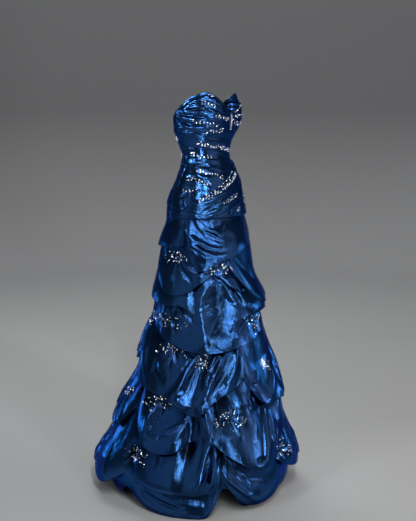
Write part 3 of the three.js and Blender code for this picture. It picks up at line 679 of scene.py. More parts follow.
def hem_height(angle):
    """Height of the hem: the far side's is the show side's mirrored, and neither goes below the floor."""
    turn = turned(angle)
    return np.maximum(show_hem_at(np.where(np.abs(turn) <= 90, turn, turned(180 - turn))), 0)


# ---------------------------------------------------------------- the skirt's sheets


def row_shares(angles, rows):
    """How far down each column its rows lie, from 0 to 1: evenly by the length of the cloth and by its
    bend, then evened out over the columns beside it."""
    top, bottom = BASQUE - SEAM_GAP, hem_height(angles)
    share = np.linspace(0, 1, ROW_STEPS + 1)
    heights = top + (bottom - top)[:, None] * share
    radius = skirt_radius(angles[:, None] + 0 * heights, heights, fine=False)
    step_out, step_down = np.diff(radius, axis=1), np.diff(heights, axis=1)
    course = np.unwrap(np.arctan2(step_out, -step_down), axis=1)
    padded = np.pad(course, ((0, 0), (2, 2)), mode="edge")
    course = np.apply_along_axis(np.convolve, 1, padded, np.ones(5) / 5, "valid")
    bend = np.abs(np.diff(course, axis=1, prepend=course[:, :1]))
    measure = np.cumsum(np.hypot(step_out, step_down) + BEND_WEIGHT * bend, axis=1)
    measure = np.concatenate([np.zeros((len(angles), 1)), measure], axis=1)
    wanted = np.linspace(0, 1, rows + 1)
    shares = np.stack([np.interp(wanted * line[-1], line, share) for line in measure])
    reach = max(1, round(EVENED_OVER / (angles[1] - angles[0])))
    weight = np.hanning(2 * reach + 3)[1:-1]
    weight /= weight.sum()
    return sum(w * np.roll(shares, k - reach, axis=0) for k, w in enumerate(weight))


def skirt_grid(columns, rows):
    """Points of the whole skirt, one column for each angle, with a narrow hem turned up inside. Rows are
    chosen for every second column, and the others take the mean of their neighbours'."""
    angles = np.arange(columns) * 360.0 / columns - 180.0 - SHOW_SIDE
    top, bottom = BASQUE - SEAM_GAP, hem_height(angles)[:, None]
    coarse = row_shares(angles[::2], rows)
    between = (coarse + np.roll(coarse, -1, axis=0)) / 2
    shares = np.stack([coarse, between], axis=1).reshape(columns, rows + 1)
    heights = top + (bottom - top) * shares
    headings = (angles + SHOW_SIDE)[:, None]
    sheet = skirt_place(headings + 0 * heights, heights)
    radius = skirt_radius(angles[:, None], heights[:, -1:])
    turn_in, turn_up = np.array(HEM_TURN).T
    hem = place(headings, radius - turn_in, np.maximum(heights[:, -1:] + turn_up, 0))
    return np.concatenate([sheet, hem], axis=1)


# ---------------------------------------------------------------- the bodice's sheets


def gathers(lane, heading, seed):
    """Ridges with sharp valleys, one for each whole lane, as powers of a sine: they wander and come and go
    along the panel, with finer ones between."""
    slow = 0.7 * noise(heading / 32, lane / 2.6, seed)
    quick = 0.25 * noise(heading / 12, lane / 1.3, seed + 1)
    lane = lane + slow + quick
    ridge = np.floor(lane)
    strength = 0.3 + 0.7 * noise(heading / 28 + 7.3 * ridge, 3.1 * ridge, seed + 2)
    main = np.abs(np.sin(np.pi * lane)) ** 0.85 * strength
    small = np.abs(np.sin(np.pi * (2.3 * lane + 1.5 * noise(heading / 10, lane, seed + 3)))) ** 0.9
    return 0.62 * main + 0.2 * small


def basque(heading):
    """The level lower edge that all panels but the cups end at."""
    return BASQUE + 0 * heading


def fan_lanes(panel, heading, height):
    """Lanes that open like a fan between the panel's upper and lower edges."""
    top, bottom = panel["top"](heading), panel["bottom"](heading)
    return panel["count"] * (top - height) / (top - bottom)


def sloped_lanes(panel, heading, height):
    """Lanes a fixed distance apart, which climb by slope a degree and level out past turn degrees."""
    eased = panel["turn"] * np.tanh(heading / panel["turn"])
    return (LANES_START + panel["slope"] * eased - height) / panel["spacing"]


def panel_of(start, end, depth, top, bottom, seed, grid, **lanes):
    """A panel as named values. grid is how many columns and rows it has, and lanes is how its gathers run."""
    return {
        "start": start,
        "end": end,
        "depth": depth,
        "top": top,
        "bottom": bottom,
        "seed": seed,
        "grid": grid,
        **lanes,
    }


FAN = {"lanes": fan_lanes, "count": 12}


def slope(by, turn, spacing):
    """Gathers that climb by so many millimetres a degree, level out past turn and lie spacing apart."""
    return {"lanes": sloped_lanes, "slope": by, "turn": turn, "spacing": spacing}


# start and end headings, depth of the gathers, upper edge, lower edge, seed, columns and rows, lanes
PANELS = {
    "bust_right": panel_of(-108, 0, 3.4, neckline, underbust, 21, (130, 72), **FAN),
    "bust_left": panel_of(0, 108, 3.4, neckline, underbust, 33, (130, 72), **FAN),
    "midriff_front": panel_of(-108, 108, 1.3, underbust, basque, 41, (216, 130), **slope(-0.36, 160.0, 19.0)),
    "back_right": panel_of(-180, -108, 2.0, neckline, basque, 55, (80, 130), **slope(0.1, 160.0, 21.0)),
    "back_left": panel_of(108, 180, 2.0, neckline, basque, 61, (80, 130), **slope(-0.1, 160.0, 21.0)),
    "hip_wrap": panel_of(-99, 108, 3.0, wrap_edge_at, basque, 72, (220, 90), **slope(1.25, 60.0, 12.5)),
}

# The hip wrap: how far it stands out, and does so at its edges, how far in its edges and ends roll down to
# that, and over how many degrees from the right side seam it thins.
WRAP = {"proud": 1.5, "least": 1.2, "upper_roll": 7, "lower_roll": 5, "end_roll": 7, "thin_over": 30}

# What is left of the gathers' depth at the centre front and at the zip, and how many degrees on it is whole.
FRONT_GATHERS = {"share": 0.45, "over": 16}
ZIP_GATHERS = {"share": 0.05, "over": 12}


def panel_radius(name, heading, height):
    """Radius of a panel's outer face: the body, the cloth's wall, its gathers and the creases laid on it.
    The wrap also lies over the midriff, with its edges rolled down to it. Gathers are shallower at the
    centre front and at the zip."""
    panel = PANELS[name]
    radius = body_radius(heading, height)
    folds = gathers(panel["lanes"](panel, heading, height), heading, panel["seed"])
    creases = sum(fold_lift(fold, heading, height, radius) for fold in CREASES.get(name, ()))
    if name == "hip_wrap":
        top, bottom = panel["top"](heading), panel["bottom"](heading)
        share = np.clip((heading + SIDE_SEAM) / WRAP["thin_over"], 0.15, 1)
        lift = RUCHE + LAYER_GAP + WALL + (panel["depth"] * folds + WRAP["proud"] + creases) * share
        edge = rounded(top - height, WRAP["upper_roll"]) * rounded(height - bottom, WRAP["lower_roll"])
        start = rounded((heading - panel["start"]) * 2, WRAP["end_roll"])
        end = rounded((panel["end"] - heading) * 2, WRAP["end_roll"])
        return radius + WALL + WRAP["least"] + (lift - WRAP["least"]) * edge * (start * end)
    if name.startswith("bust"):
        least = FRONT_GATHERS["share"]
        share = least + (1 - least) * np.clip(np.abs(heading) / FRONT_GATHERS["over"], 0, 1)
    elif name.startswith("back"):
        share = np.clip((180 - np.abs(heading)) / ZIP_GATHERS["over"], ZIP_GATHERS["share"], 1)
    else:
        share = 1.0
    return radius + WALL + (panel["depth"] * folds + GATHERS_LEAST + creases) * share


def panel_surface(name):
    """A panel's outer face as a function of heading and height."""
    return lambda heading, height: place(heading, panel_radius(name, heading, height), height)


def panel_grid(name):
    """A panel's grid: columns at even headings, held back from its seams, and rows from the top down."""
    panel = PANELS[name]
    columns, rows = panel["grid"]
    across = np.linspace(0, 1, columns + 1)[:, None]
    down = np.linspace(0, 1, rows + 1)
    headings = np.linspace(panel["start"], panel["end"], columns + 1)
    right = ZIP_HALF + SEAM_GAP if panel["start"] == -180 else SEAM_GAP / 2
    left = ZIP_HALF + SEAM_GAP if panel["end"] == 180 else SEAM_GAP / 2
    top = panel["top"](headings)[:, None]
    bottom = panel["bottom"](headings)[:, None]
    heights = top + (bottom - top) * down
    if name == "midriff_front":
        heights = heights - SEAM_GAP / 2 * (1 - down)
    if name.startswith("bust"):
        heights = heights + SEAM_GAP / 2 * down
    headings = headings[:, None]
    radius = panel_radius(name, headings + 0 * heights, heights)
    held = right * (1 - across) - left * across
    return place(headings + np.degrees(held / radius), radius, heights)


# ---------------------------------------------------------------- meshes


def show_mesh(name, points, faces, uvs=None, smooth=True):
    """An object at the origin from points and faces, which all have the same number of corners."""
    mesh = bpy.data.meshes.new(name)
    sides = faces.shape[1]
    mesh.vertices.add(len(points))
    mesh.vertices.foreach_set("co", np.ascontiguousarray(points, dtype=np.float32).reshape(-1))
    mesh.loops.add(faces.size)
    mesh.loops.foreach_set("vertex_index", faces.reshape(-1).astype(np.int32))
    mesh.polygons.add(len(faces))
    mesh.polygons.foreach_set("loop_start", np.arange(0, faces.size, sides, dtype=np.int32))
    mesh.polygons.foreach_set("use_smooth", np.full(len(faces), smooth))
    if uvs is not None:
        layer = mesh.uv_layers.new(name="cloth")
        layer.uv.foreach_set("vector", uvs[faces.reshape(-1)].astype(np.float32).reshape(-1))
    mesh.update(calc_edges=True)
    mesh.validate()
    obj = bpy.data.objects.new(name, mesh)
    bpy.context.scene.collection.objects.link(obj)
    return obj


def measured(points):
    """UVs in metres of cloth: across by the mean width of each strip, along by each column's own length."""
    across = np.linalg.norm(np.diff(points, axis=0), axis=-1).mean(axis=1)
    along = np.linalg.norm(np.diff(points, axis=1), axis=-1)
    u = np.concatenate([[0], np.cumsum(across)])
    v = np.concatenate([np.zeros((points.shape[0], 1)), np.cumsum(along, axis=1)], axis=1)
    return np.stack([np.broadcast_to(u[:, None], v.shape), -v], axis=-1)


def sheet_mesh(name, points):
    """A sheet from a grid of points, columns by rows from the top down, with its faces outwards."""
    columns, rows = points.shape[:2]
    index = np.arange(columns * rows).reshape(columns, rows)
    corners = (index[:-1, :-1], index[:-1, 1:], index[1:, 1:], index[1:, :-1])
    faces = np.stack(corners, axis=-1).reshape(-1, 4)
    return show_mesh(name, points.reshape(-1, 3), faces, measured(points).reshape(-1, 2))


def depth_shade(points, reach, full):
    """Painted shade where the cloth lies deep: how far each point lies inside the mean of the square of points
    round it, from 0 to 1 at full, in metres. The means come from sums over the whole grid, each a difference of
    four."""
    depth = np.hypot(points[..., 0], points[..., 1])
    padded = np.pad(depth, reach, mode="edge")
    total = padded.cumsum(axis=0).cumsum(axis=1)
    total = np.pad(total, ((1, 0), (1, 0)))
    size = 2 * reach + 1
    square = total[size:, size:] - total[:-size, size:] - total[size:, :-size] + total[:-size, :-size]
    return np.clip((square / size**2 - depth) / full, 0, 1)


def underside_shade(points):
    """Painted shade under overhangs: how far each point of a grid faces the floor, from 0 to 1: one and a half
    times its normal's fall.
    """
    out = np.cross(np.gradient(points, axis=1), np.gradient(points, axis=0))
    return np.clip(-1.5 * out[..., 2] / np.maximum(np.linalg.norm(out, axis=-1), 1e-12), 0, 1)


def store_painted_shade(obj, values):
    """Gives the cloth's material the share of painted shade at each point: from how deep it lies and, on the
    skirt, how far it faces the floor.
    """
    layer = obj.data.attributes.new("painted_shade_share", "FLOAT", "POINT")
    layer.data.foreach_set("value", values.reshape(-1).astype(np.float32))


def lined(obj, thickness):
    """Gives an open sheet a wall on its inner side."""
    wall = obj.modifiers.new("lining", "SOLIDIFY")
    wall.thickness = thickness
    wall.offset = -1
    wall.use_even_offset = False


def wear(obj, material, replaces=None):
    """Puts a piece on the dress, in its material, in place of a solid or beside them."""
    obj.data.materials.append(material)
    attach(obj, "dress")
    if replaces:
        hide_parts(replaces)


def frames_on(surface, headings, heights):
    """Points on a surface given as a function of heading and height, with unit vectors outwards, round and
    up."""
    step = 1.5
    here = surface(headings, heights)
    turn = np.degrees(step / 1000 / np.maximum(np.hypot(here[:, 0], here[:, 1]), 1e-3))
    around = surface(headings + turn, heights) - surface(headings - turn, heights)
    up = surface(headings, heights + step) - surface(headings, heights - step)
    out = np.cross(around, up)
    out /= np.linalg.norm(out, axis=1)[:, None]
    around /= np.linalg.norm(around, axis=1)[:, None]
    return here, out, around, np.cross(out, around)


# A stone of radius 1: how many sides it has, the radius and height of its table, the height of its girdle,
# how deep its point is, how far it is lifted off the cloth, and the range of the slopes that it leans by.
STONE = {"sides": 6, "table": 0.55, "high": 0.62, "girdle": 0.12, "deep": 0.5, "lift": 0.35, "lean": 0.35}


def cut_stone():
    """A stone of radius 1: a flat table, a girdle, and a point behind, as points and triangles."""
    sides = STONE["sides"]
    turn = np.arange(sides) * 2 * np.pi / sides
    flat, twisted = STONE["table"], turn + 0.3
    table = np.stack([flat * np.cos(twisted), flat * np.sin(twisted), STONE["high"] + 0 * turn], axis=-1)
    girdle = np.stack([np.cos(turn), np.sin(turn), STONE["girdle"] + 0 * turn], axis=-1)
    points = np.concatenate([table, girdle, [[0, 0, -STONE["deep"]]]])
    faces = [(0, i, i + 1) for i in range(1, sides - 1)]
    for i in range(sides):
        j = (i + 1) % sides
        faces += [(i, sides + i, j), (sides + i, sides + j, j), (sides + j, sides + i, 2 * sides)]
    return points, np.array(faces)


def set_stones(surface, headings, heights, sizes, seed=0):
    """One mesh of stones, each spun, tilted a little and turned to the cloth that it lies on. sizes are
    radii in millimetres."""
    points, faces = cut_stone()
    here, out, around, up = frames_on(surface, headings, heights)
    k = np.arange(len(headings))
    spin = 2 * np.pi * lattice(k, 3, seed)
    lean = STONE["lean"] * (lattice(k, 5, seed) - 0.5)
    a = around * np.cos(spin)[:, None] + up * np.sin(spin)[:, None]
    b = np.cross(out, a)
    n = out + a * lean[:, None]
    n /= np.linalg.norm(n, axis=1)[:, None]
    x, y, z = points[None, :, 0:1], points[None, :, 1:2], points[None, :, 2:3]
    body = x * a[:, None] + y * b[:, None] + z * n[:, None]
    verts = here[:, None] + (body + STONE["lift"] * out[:, None]) * (sizes / 1000)[:, None, None]
    index = faces[None] + (k * len(points))[:, None, None]
    return verts.reshape(-1, 3), index.reshape(-1, 3)


def joined(parts):
    """Several lists of points and faces as one."""
    starts = np.cumsum([0] + [len(points) for points, _ in parts])
    faces = [index + start for (_, index), start in zip(parts, starts)]
    return np.concatenate([points for points, _ in parts]), np.concatenate(faces)


def along_line(line, spacing, seed, scatter):
    """Headings and heights of places along a line, about spacing apart and up to scatter above or below
    it."""
    line = np.array(line, float)
    radius = body_radius(line[:, 0], line[:, 1])
    mean = (radius[1:] + radius[:-1]) / 2
    lengths = np.hypot(np.radians(np.diff(line[:, 0])) * mean, np.diff(line[:, 1]))
    course = np.concatenate([[0], np.cumsum(lengths)])
    count = max(2, int(course[-1] / spacing))
    n = np.arange(count)
    s = (n + 0.5 + 0.5 * (lattice(n, 1, seed) - 0.5)) / count * course[-1]
    off = scatter * (2 * lattice(n, 2, seed) - 1)
    return np.interp(s, course, line[:, 0]), np.interp(s, course, line[:, 1]) + off


# ---------------------------------------------------------------- materials


class Wire:
    """A number that varies over a surface. Its sums and products add the Math nodes for them."""

    def __init__(self, shader, socket):
        self.shader = shader
        self.socket = socket

    def with_math(self, operation, first, second):
        """The wire out of a Math node of two numbers or wires."""
        return self.shader.node("ShaderNodeMath", {"operation": operation}, {0: first, 1: second})

    def __add__(self, other):
        return self.with_math("ADD", self, other)

    def __radd__(self, other):
        return self.with_math("ADD", other, self)

    def __sub__(self, other):
        return self.with_math("SUBTRACT", self, other)

    def __rsub__(self, other):
        return self.with_math("SUBTRACT", other, self)

    def __mul__(self, other):
        return self.with_math("MULTIPLY", self, other)

    def __rmul__(self, other):
        return self.with_math("MULTIPLY", other, self)

    def __pow__(self, other):
        return self.with_math("POWER", self, other)


class Shader:
    """A material under construction."""

    def __init__(self, name):
        self.material = bpy.data.materials.new(name)
        self.material.use_nodes = True
        self.tree = self.material.node_tree
        self.tree.nodes.clear()

    def node(self, kind, settings, sockets, output=0):
        """Adds a node, its settings first, then the values or wires of its sockets, and returns one
        output."""
        node = self.tree.nodes.new(kind)
        for key, value in settings.items():
            setattr(node, key, value)
        for key, value in sockets.items():
            if isinstance(value, Wire):
                self.tree.links.new(value.socket, node.inputs[key])
            else:
                node.inputs[key].default_value = value
        return None if output is None else Wire(self, node.outputs[output])

    def coordinates(self):
        """Places on the dress, in metres from the waist's middle."""
        return self.node("ShaderNodeTexCoord", {}, {}, output="Object")

    def stretched(self, vector, scale):
        """Coordinates with so many units to a metre along each axis."""
        return self.node("ShaderNodeMapping", {}, {"Vector": vector, "Scale": scale})

    def absolute(self, value):
        """A wire's value without its sign."""
        return self.node("ShaderNodeMath", {"operation": "ABSOLUTE"}, {0: value})

    def mix(self, share, first, second):
        """The first colour, turned into the second by a share."""
        return self.node("ShaderNodeMix", {"data_type": "RGBA"}, {0: share, 6: first, 7: second}, output=2)

    def noise(self, vector, scale, detail=2.0, roughness=0.5):
        """Cloudy values from 0 to 1, so many to a unit of the vector."""
        values = {"Vector": vector, "Scale": scale, "Detail": detail, "Roughness": roughness}
        return self.node("ShaderNodeTexNoise", {}, values)

    def bump(self, height, distance, strength, normal=None):
        """The surface's direction, tilted as if by a height, over another one's where there is one."""
        values = {"Height": height, "Distance": distance, "Strength": strength}
        if normal is not None:
            values["Normal"] = normal
        return self.node("ShaderNodeBump", {}, values)

    def finish(self, sockets):
        """Ends the material with one surface and its output."""
        surface = self.node("ShaderNodeBsdfPrincipled", {}, sockets)
        self.node("ShaderNodeOutputMaterial", {}, {"Surface": surface}, output=None)
        return self.material


# Threads and flaws of the weave, as units to a metre across the cloth and along it, and each kind of
# panel's facets.
RIBS, STREAKS, SLUBS = (1500.0, 400.0, 1.0), (190.0, 18.0, 1.0), (320.0, 22.0, 1.0)
FACETS = {"taffeta_draped": (110.0, 20.0, 1.0), "taffeta_ruched": (14.0, 70.0, 1.0)}
# Near black that the cloth's colour turns to as painted shade, where it lies deep or faces the floor.
PAINTED_SHADE_COLOR = (0.0004, 0.001, 0.004, 1.0)
GLOSS_SWING = 0.06  # how far the facets and the streaks each swing the roughness


def taffeta(name, look):
    """Shot silk-like weave: a metallic gloss, which small creases, facets, streaks, slubs and ribs break up,
    each a bump over the one before. Its colour carries painted shade, darker where folds are deep and, on the
    skirt, where the cloth faces the floor."""
    s = Shader(name)
    place_at = s.coordinates()
    cloth = s.node("ShaderNodeUVMap", {"uv_map": "cloth"}, {})
    weave = s.noise(s.stretched(cloth, RIBS), 1.0, 1.0)
    streak = s.noise(s.stretched(cloth, STREAKS), 1.0, 2.0)
    slub = s.noise(s.stretched(cloth, SLUBS), 1.0, 2.0)
    facets = s.noise(s.stretched(cloth, FACETS[name]), 1.0, 3.0, 0.62)
    ridged = 1.0 - s.absolute(2.0 * s.noise(place_at, 21.0, 2.0, 0.5) - 1.0)
    # The share of painted shade stored on each point of the sheets.
    painted_shade_share = s.node("ShaderNodeAttribute", {"attribute_name": "painted_shade_share"}, {}, output="Fac")
    tint = s.mix(s.noise(place_at, 7.0, 3.0), tuple(look.deep), tuple(look.bright))
    normal = None
    # height, metres that it stands for, strength
    for height, distance, strength in (
        (ridged**6.0, 0.003, 0.12 * look.crumple),
        (facets, 0.003, 0.55 * look.crumple),
        (streak, 0.0011, 0.36),
        (slub, 0.0007, 0.3),
        (weave, 0.0003, 0.2),
    ):
        normal = s.bump(height, distance, strength, normal)
    # The base colour carries painted shade: it turns towards near black by the stored share.
    return s.finish(
        {
            "Base Color": s.mix(painted_shade_share * look.painted_shade_strength, tint, PAINTED_SHADE_COLOR),
            "Roughness": look.roughness - GLOSS_SWING + GLOSS_SWING * facets + GLOSS_SWING * streak,
            "Metallic": look.metallic,
            "Specular Tint": (0.12, 0.34, 0.8, 1.0),
            "Coat Weight": 0.04,
            "Coat Roughness": 0.2,
            "Sheen Weight": 0.015,
            "Sheen Roughness": 0.4,
            "Sheen Tint": (0.25, 0.45, 1.0, 1.0),
            "Normal": normal,
        }
    )


def crystal(name):
    """Foiled stones: pale silver with a blue cast here and there, which glow a little as painted glints though
    they are no lamps.
    """
    s = Shader(name)
    cast = s.noise(s.coordinates(), 240.0, 1.0)
    color = s.mix(cast, (0.92, 0.92, 0.88, 1.0), (0.70, 0.78, 0.90, 1.0))
    return s.finish(
        {
            "Base Color": color,
            "Roughness": 0.06 + 0.12 * cast,
            "Metallic": 0.85,
            "Coat Weight": 0.6,
            "Coat Roughness": 0.03,
            # The stones glow a little in their own colour: painted glints, though they are no lamps.
            "Emission Color": color,
            "Emission Strength": 0.95,
        }
    )


def zip_finish(name, deep, bright, metallic, roughness):
    """Lacquered metal or moulded coil, with fine brushing and a little wear."""
    s = Shader(name)
    place_at = s.coordinates()
    grain = s.noise(s.stretched(place_at, (900.0, 900.0, 120.0)), 1.0, 2.0)
    return s.finish(
        {
            "Base Color": s.mix(s.noise(place_at, 320.0, 3.0), deep, bright),
            "Roughness": roughness + 0.18 * grain,
            "Metallic": metallic,
            "Normal": s.bump(grain, 0.0002, 0.4),
        }
    )


def thread(name):
    """Blue sewing thread, lighter and darker along its twist."""
    s = Shader(name)
    twist = s.noise(s.coordinates(), 1400.0, 1.0)
    color = s.mix(twist, (0.02, 0.05, 0.2, 1.0), (0.06, 0.14, 0.45, 1.0))
    strands = s.bump(twist, 0.0002, 0.5)
    return s.finish({"Base Color": color, "Roughness": 0.45 + 0.2 * twist, "Normal": strands})


WALL_FADE = (-1.15, 0.2)  # metres above the waist between which the floor's colour turns to the wall's


def studio_paint(name, floor, wall):
    """Matt paint with a slight mottle, which turns from the floor's colour to the wall's as it rises."""
    s = Shader(name)
    place_at = s.coordinates()
    mottle = s.noise(place_at, 1.3, 3.0)
    height = s.node("ShaderNodeSeparateXYZ", {}, {"Vector": place_at}, output="Z")
    low, high = WALL_FADE
    rise = s.node("ShaderNodeMapRange", {}, {"Value": height, "From Min": low, "From Max": high})
    darker = tuple(0.94 * c for c in floor[:3]) + (1.0,)
    color = s.mix(rise, s.mix(mottle, tuple(floor), darker), tuple(wall))
    return s.finish({"Base Color": color, "Roughness": 0.75 + 0.1 * mottle})


# ---------------------------------------------------------------- values that a user would change


def colour(name, description, default):
    """A colour with alpha."""
    return bpy.props.FloatVectorProperty(
        name=name, description=description, subtype="COLOR", size=4, min=0, max=1, default=default
    )


def factor(name, description, default, most=1):
    """A share from nothing to most."""
    return bpy.props.FloatProperty(
        name=name, description=description, subtype="FACTOR", min=0, max=most, default=default
    )


def length(name, description, least, most, default):
    """A length in metres."""
    return bpy.props.FloatProperty(
        name=name, description=description, subtype="DISTANCE", unit="LENGTH", min=least, max=most,
        default=default,
    )


def whole(name, description, least, most, default):
    """A whole number."""
    return bpy.props.IntProperty(name=name, description=description, min=least, max=most, default=default)


class DressCloth(bpy.types.PropertyGroup):
    """How the taffeta looks."""

    deep: colour("Deep colour", "The cloth where its two threads look darkest", (0.010, 0.046, 0.190, 1.0))
    bright: colour("Bright colour", "The cloth where they look brightest", (0.032, 0.112, 0.295, 1.0))
    roughness: factor("Roughness", "Spread of the gloss", 0.16)
    metallic: factor("Metallic", "How much the gloss takes the cloth's colour", 0.97)
    crumple: factor("Crumple", "Strength of the smallest creases", 0.4)
    # Painted shade: how far the cloth's colour turns to near black where it lies deep or faces the floor.
    painted_shade_strength: factor("Pockets", "How dark the cloth is deep between folds", 0.92)


class DressMeasures(bpy.types.PropertyGroup):
    """How finely and how thick the cloth is made."""

    columns: whole("Skirt columns", "Columns of points round the skirt, a multiple of 60", 60, 900, 720)
    rows: whole("Skirt rows", "Rows of points from the basque to the hem", 40, 600, 380)
    lining: length("Lining", "Thickness of the bodice's lined cloth", 0.0002, 0.003, 0.0012)
    stitch: length("Stitch", "Length of a stitch", 0.001, 0.008, 0.0032)


class DressBeads(bpy.types.PropertyGroup):
    """The stones sewn on."""

    radius: length("Stone radius", "Half the width of a middling stone", 0.0005, 0.005, 0.0022)
    cluster: whole("Stones in a cluster", "Stones round each tack of the skirt", 4, 80, 38)
    spacing: length("Spacing", "Distance between stones along the ruching", 0.002, 0.03, 0.0105)


class DressStage(bpy.types.PropertyGroup):
    """Floor, light and camera."""

    floor: colour("Floor colour", "Colour of the floor", (0.82, 0.82, 0.83, 1.0))
    wall: colour("Wall colour", "Colour of the wall round the floor", (0.38, 0.38, 0.39, 1.0))
    surround: factor("Surround", "Brightness of the room round the dress", 0.09, 2)
    light: factor("Light", "Share of the lamps' full power", 1.0, 4)


# ---------------------------------------------------------------- pieces

GORES = ("skirt_back_right", "skirt_side_right", "skirt_front", "skirt_side_left", "skirt_back_left")

# Painted shade where the skirt's cloth lies deep: half the side of the square that is compared, in points, and
# the depth in metres that counts in full. Then the same for the bodice.
SKIRT_PAINTED_SHADE = ((7, 0.012), (18, 0.019))
BODICE_PAINTED_SHADE = (3, 0.0036)

RUCHED_EXTRA = 1.2  # a ruched panel's cloth to its modelled surface, because the finest gathers are only bump


def cloth_material(name):
    """The draped or the ruched taffeta, made when it is first asked for."""
    return bpy.data.materials.get(name) or taffeta(name, bpy.context.scene.dress_cloth)


def cloth_area(obj):
    """The sum of a sheet's faces, in square metres."""
    areas = np.empty(len(obj.data.polygons))
    obj.data.polygons.foreach_get("area", areas)
    return float(areas.sum())


def longest(points, axis):
    """Length of the longest row or column of a grid of points."""
    return float(np.linalg.norm(np.diff(points, axis=axis), axis=-1).sum(axis=axis).max())


class DRESS_OT_skirt(bpy.types.Operator):
    """Sews the five gores of the skirt, picked up into swags"""

    bl_idname = "dress.skirt"
    bl_label = "Sew the skirt"

    def execute(self, context):
        size = context.scene.dress_measures
        points = skirt_grid(size.columns, size.rows)
        ring = np.concatenate([points, points[:1]], axis=0)
        # Painted shade: darker where the cloth lies deep and where it faces the floor, under the swags' lips.
        depth_shades = [depth_shade(ring, reach, full) for reach, full in SKIRT_PAINTED_SHADE]
        painted_shade_share = np.maximum.reduce([*depth_shades, underside_shade(ring)])
        for n, name in enumerate(GORES):
            first = round((SKIRT_SEAMS[n] + 180) / 360 * size.columns)
            last = round((SKIRT_SEAMS[n + 1] + 180) / 360 * size.columns)
            part = ring[first : last + 1]
            gore = sheet_mesh("sheet_" + name, part)
            store_painted_shade(gore, painted_shade_share[first : last + 1])
            wear(gore, cloth_material("taffeta_draped"), name)
            area, long = cloth_area(gore), longest(part, 1)
        return {"FINISHED"}


class DRESS_OT_bodice(bpy.types.Operator):
    """Sews the ruched panels of the bodice"""

    bl_idname = "dress.bodice"
    bl_label = "Sew the bodice"

    def execute(self, context):
        lining = context.scene.dress_measures.lining
        for name in PANELS:
            points = panel_grid(name)
            panel = sheet_mesh("sheet_" + name, points)
            # Painted shade where the gathers lie deep.
            store_painted_shade(panel, depth_shade(points, *BODICE_PAINTED_SHADE))
            area = cloth_area(panel) * RUCHED_EXTRA
            lined(panel, lining)
            wear(panel, cloth_material("taffeta_ruched"), name)
        return {"FINISHED"}


def bodice_stones(radius, spacing):
    """Lists of stones along the lines of the ruching, in loose rows that lie over each other."""
    for n, (panel, lanes, line) in enumerate(BEAD_LINES):
        for lane in range(lanes):
            headings, heights = along_line(line, spacing, 90 + n + 40 * lane, 3.6 + 0.9 * lanes)
            sizes = radius * (0.35 + 0.7 * lattice(np.arange(len(headings)), 7, n + lane) ** 1.5)
            yield set_stones(panel_surface(panel), headings, heights, sizes, seed=n)


def tab_stones(radius):
    """Two uneven columns of stones down the tab."""
    k = np.arange(TAB["stones"])
    heights = TAB["top"] + (TAB["bottom"] - TAB["top"]) * (k // 2 + 0.5) / (len(k) // 2)
    offsets = np.where(k % 2 == 0, -1, 1) * TAB["apart"] * (0.7 + 0.6 * lattice(k, 8, 5))
    headings = np.degrees(offsets / front_at(heights))
    sizes = radius * (0.4 + 0.35 * lattice(k, 9, 5))
    return set_stones(lambda h, z: place(h, body_radius(h, z) + TAB["lift"], z), headings, heights, sizes)


def skirt_stones(radius, count):
    """Lists of stones in a loose ellipse round each tack, on the show side and then on the far side."""
    k = np.arange(count)
    for far in (False, True):
        for n, (angle, height, wide, tall) in enumerate(BEAD_CLUSTERS):
            turn = 2 * np.pi * lattice(k, 1, n)
            reach = np.sqrt(lattice(k, 2, n)) * (0.55 + 0.6 * lattice(k, 4, n))
            angles = angle + CLUSTER_SPREAD * wide * reach * np.cos(turn)
            heights = height + CLUSTER_SPREAD * tall * reach * np.sin(turn)
            if far:
                angles, heights = 180 - angles, heights + FAR_SIDE_LIFT
            sizes = radius * (0.38 + 0.7 * lattice(k, 3, n) ** 2)
            yield set_stones(skirt_place, angles + SHOW_SIDE, heights, sizes, seed=n)


class DRESS_OT_beads(bpy.types.Operator):
    """Sets the stones on the bodice, its tab and the skirt"""

    bl_idname = "dress.beads"
    bl_label = "Set the beads"

    def execute(self, context):
        beads = context.scene.dress_beads
        radius = beads.radius * 1000
        stones = crystal("crystal_stones")
        for name, parts in (
            ("beads_bodice", [*bodice_stones(radius, beads.spacing * 1000), tab_stones(radius)]),
            ("beads_skirt", list(skirt_stones(radius, beads.cluster))),
        ):
            wear(show_mesh(name, *joined(parts), smooth=False), stones)
        foil = zip_finish("tab_foil", (0.008, 0.02, 0.08, 1.0), (0.03, 0.06, 0.16, 1.0), 0.6, 0.45)
        finish_node("bust_tab", foil)
        return {"FINISHED"}


# The zip's teeth: from one to the next, how far from the ends of the back seam they stop, how far they
# stand from the body and to each side of its middle, and each one's width, depth and height.
TEETH = {"pitch": 1.6, "clear": 3, "stand": 2.8, "aside": 0.35, "size": (2.2, 0.9, 1.1)}


def finish_node(name, material):
    """Gives a solid that stays in sight its material."""
    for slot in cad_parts[name].material_slots:
        slot.material = material


def zip_teeth():
    """Boxes up the back seam, turn and turn about to its left and right, as points in metres and faces."""
    heights = np.arange(BASQUE + TEETH["clear"], float(neckline(180.0)) - TEETH["clear"], TEETH["pitch"])
    corners = np.array([[x, y, z] for x in (-0.5, 0.5) for y in (0, 1) for z in (-0.5, 0.5)], float)
    faces = np.array([(0, 1, 3, 2), (4, 6, 7, 5), (0, 4, 5, 1), (2, 3, 7, 6), (0, 2, 6, 4), (1, 5, 7, 3)])
    k = np.arange(len(heights))
    aside = TEETH["aside"] * np.where(k % 2 == 0, 1.0, -1.0)
    depth = body_radius(180.0 + 0 * heights, heights) + TEETH["stand"]
    centre = np.stack([aside, depth, heights - WAIST_HEIGHT], axis=-1)
    points = centre[:, None] + corners[None] * np.array(TEETH["size"])
    index = faces[None] + (k * len(corners))[:, None, None]
    return points.reshape(-1, 3) / 1000, index.reshape(-1, 4)


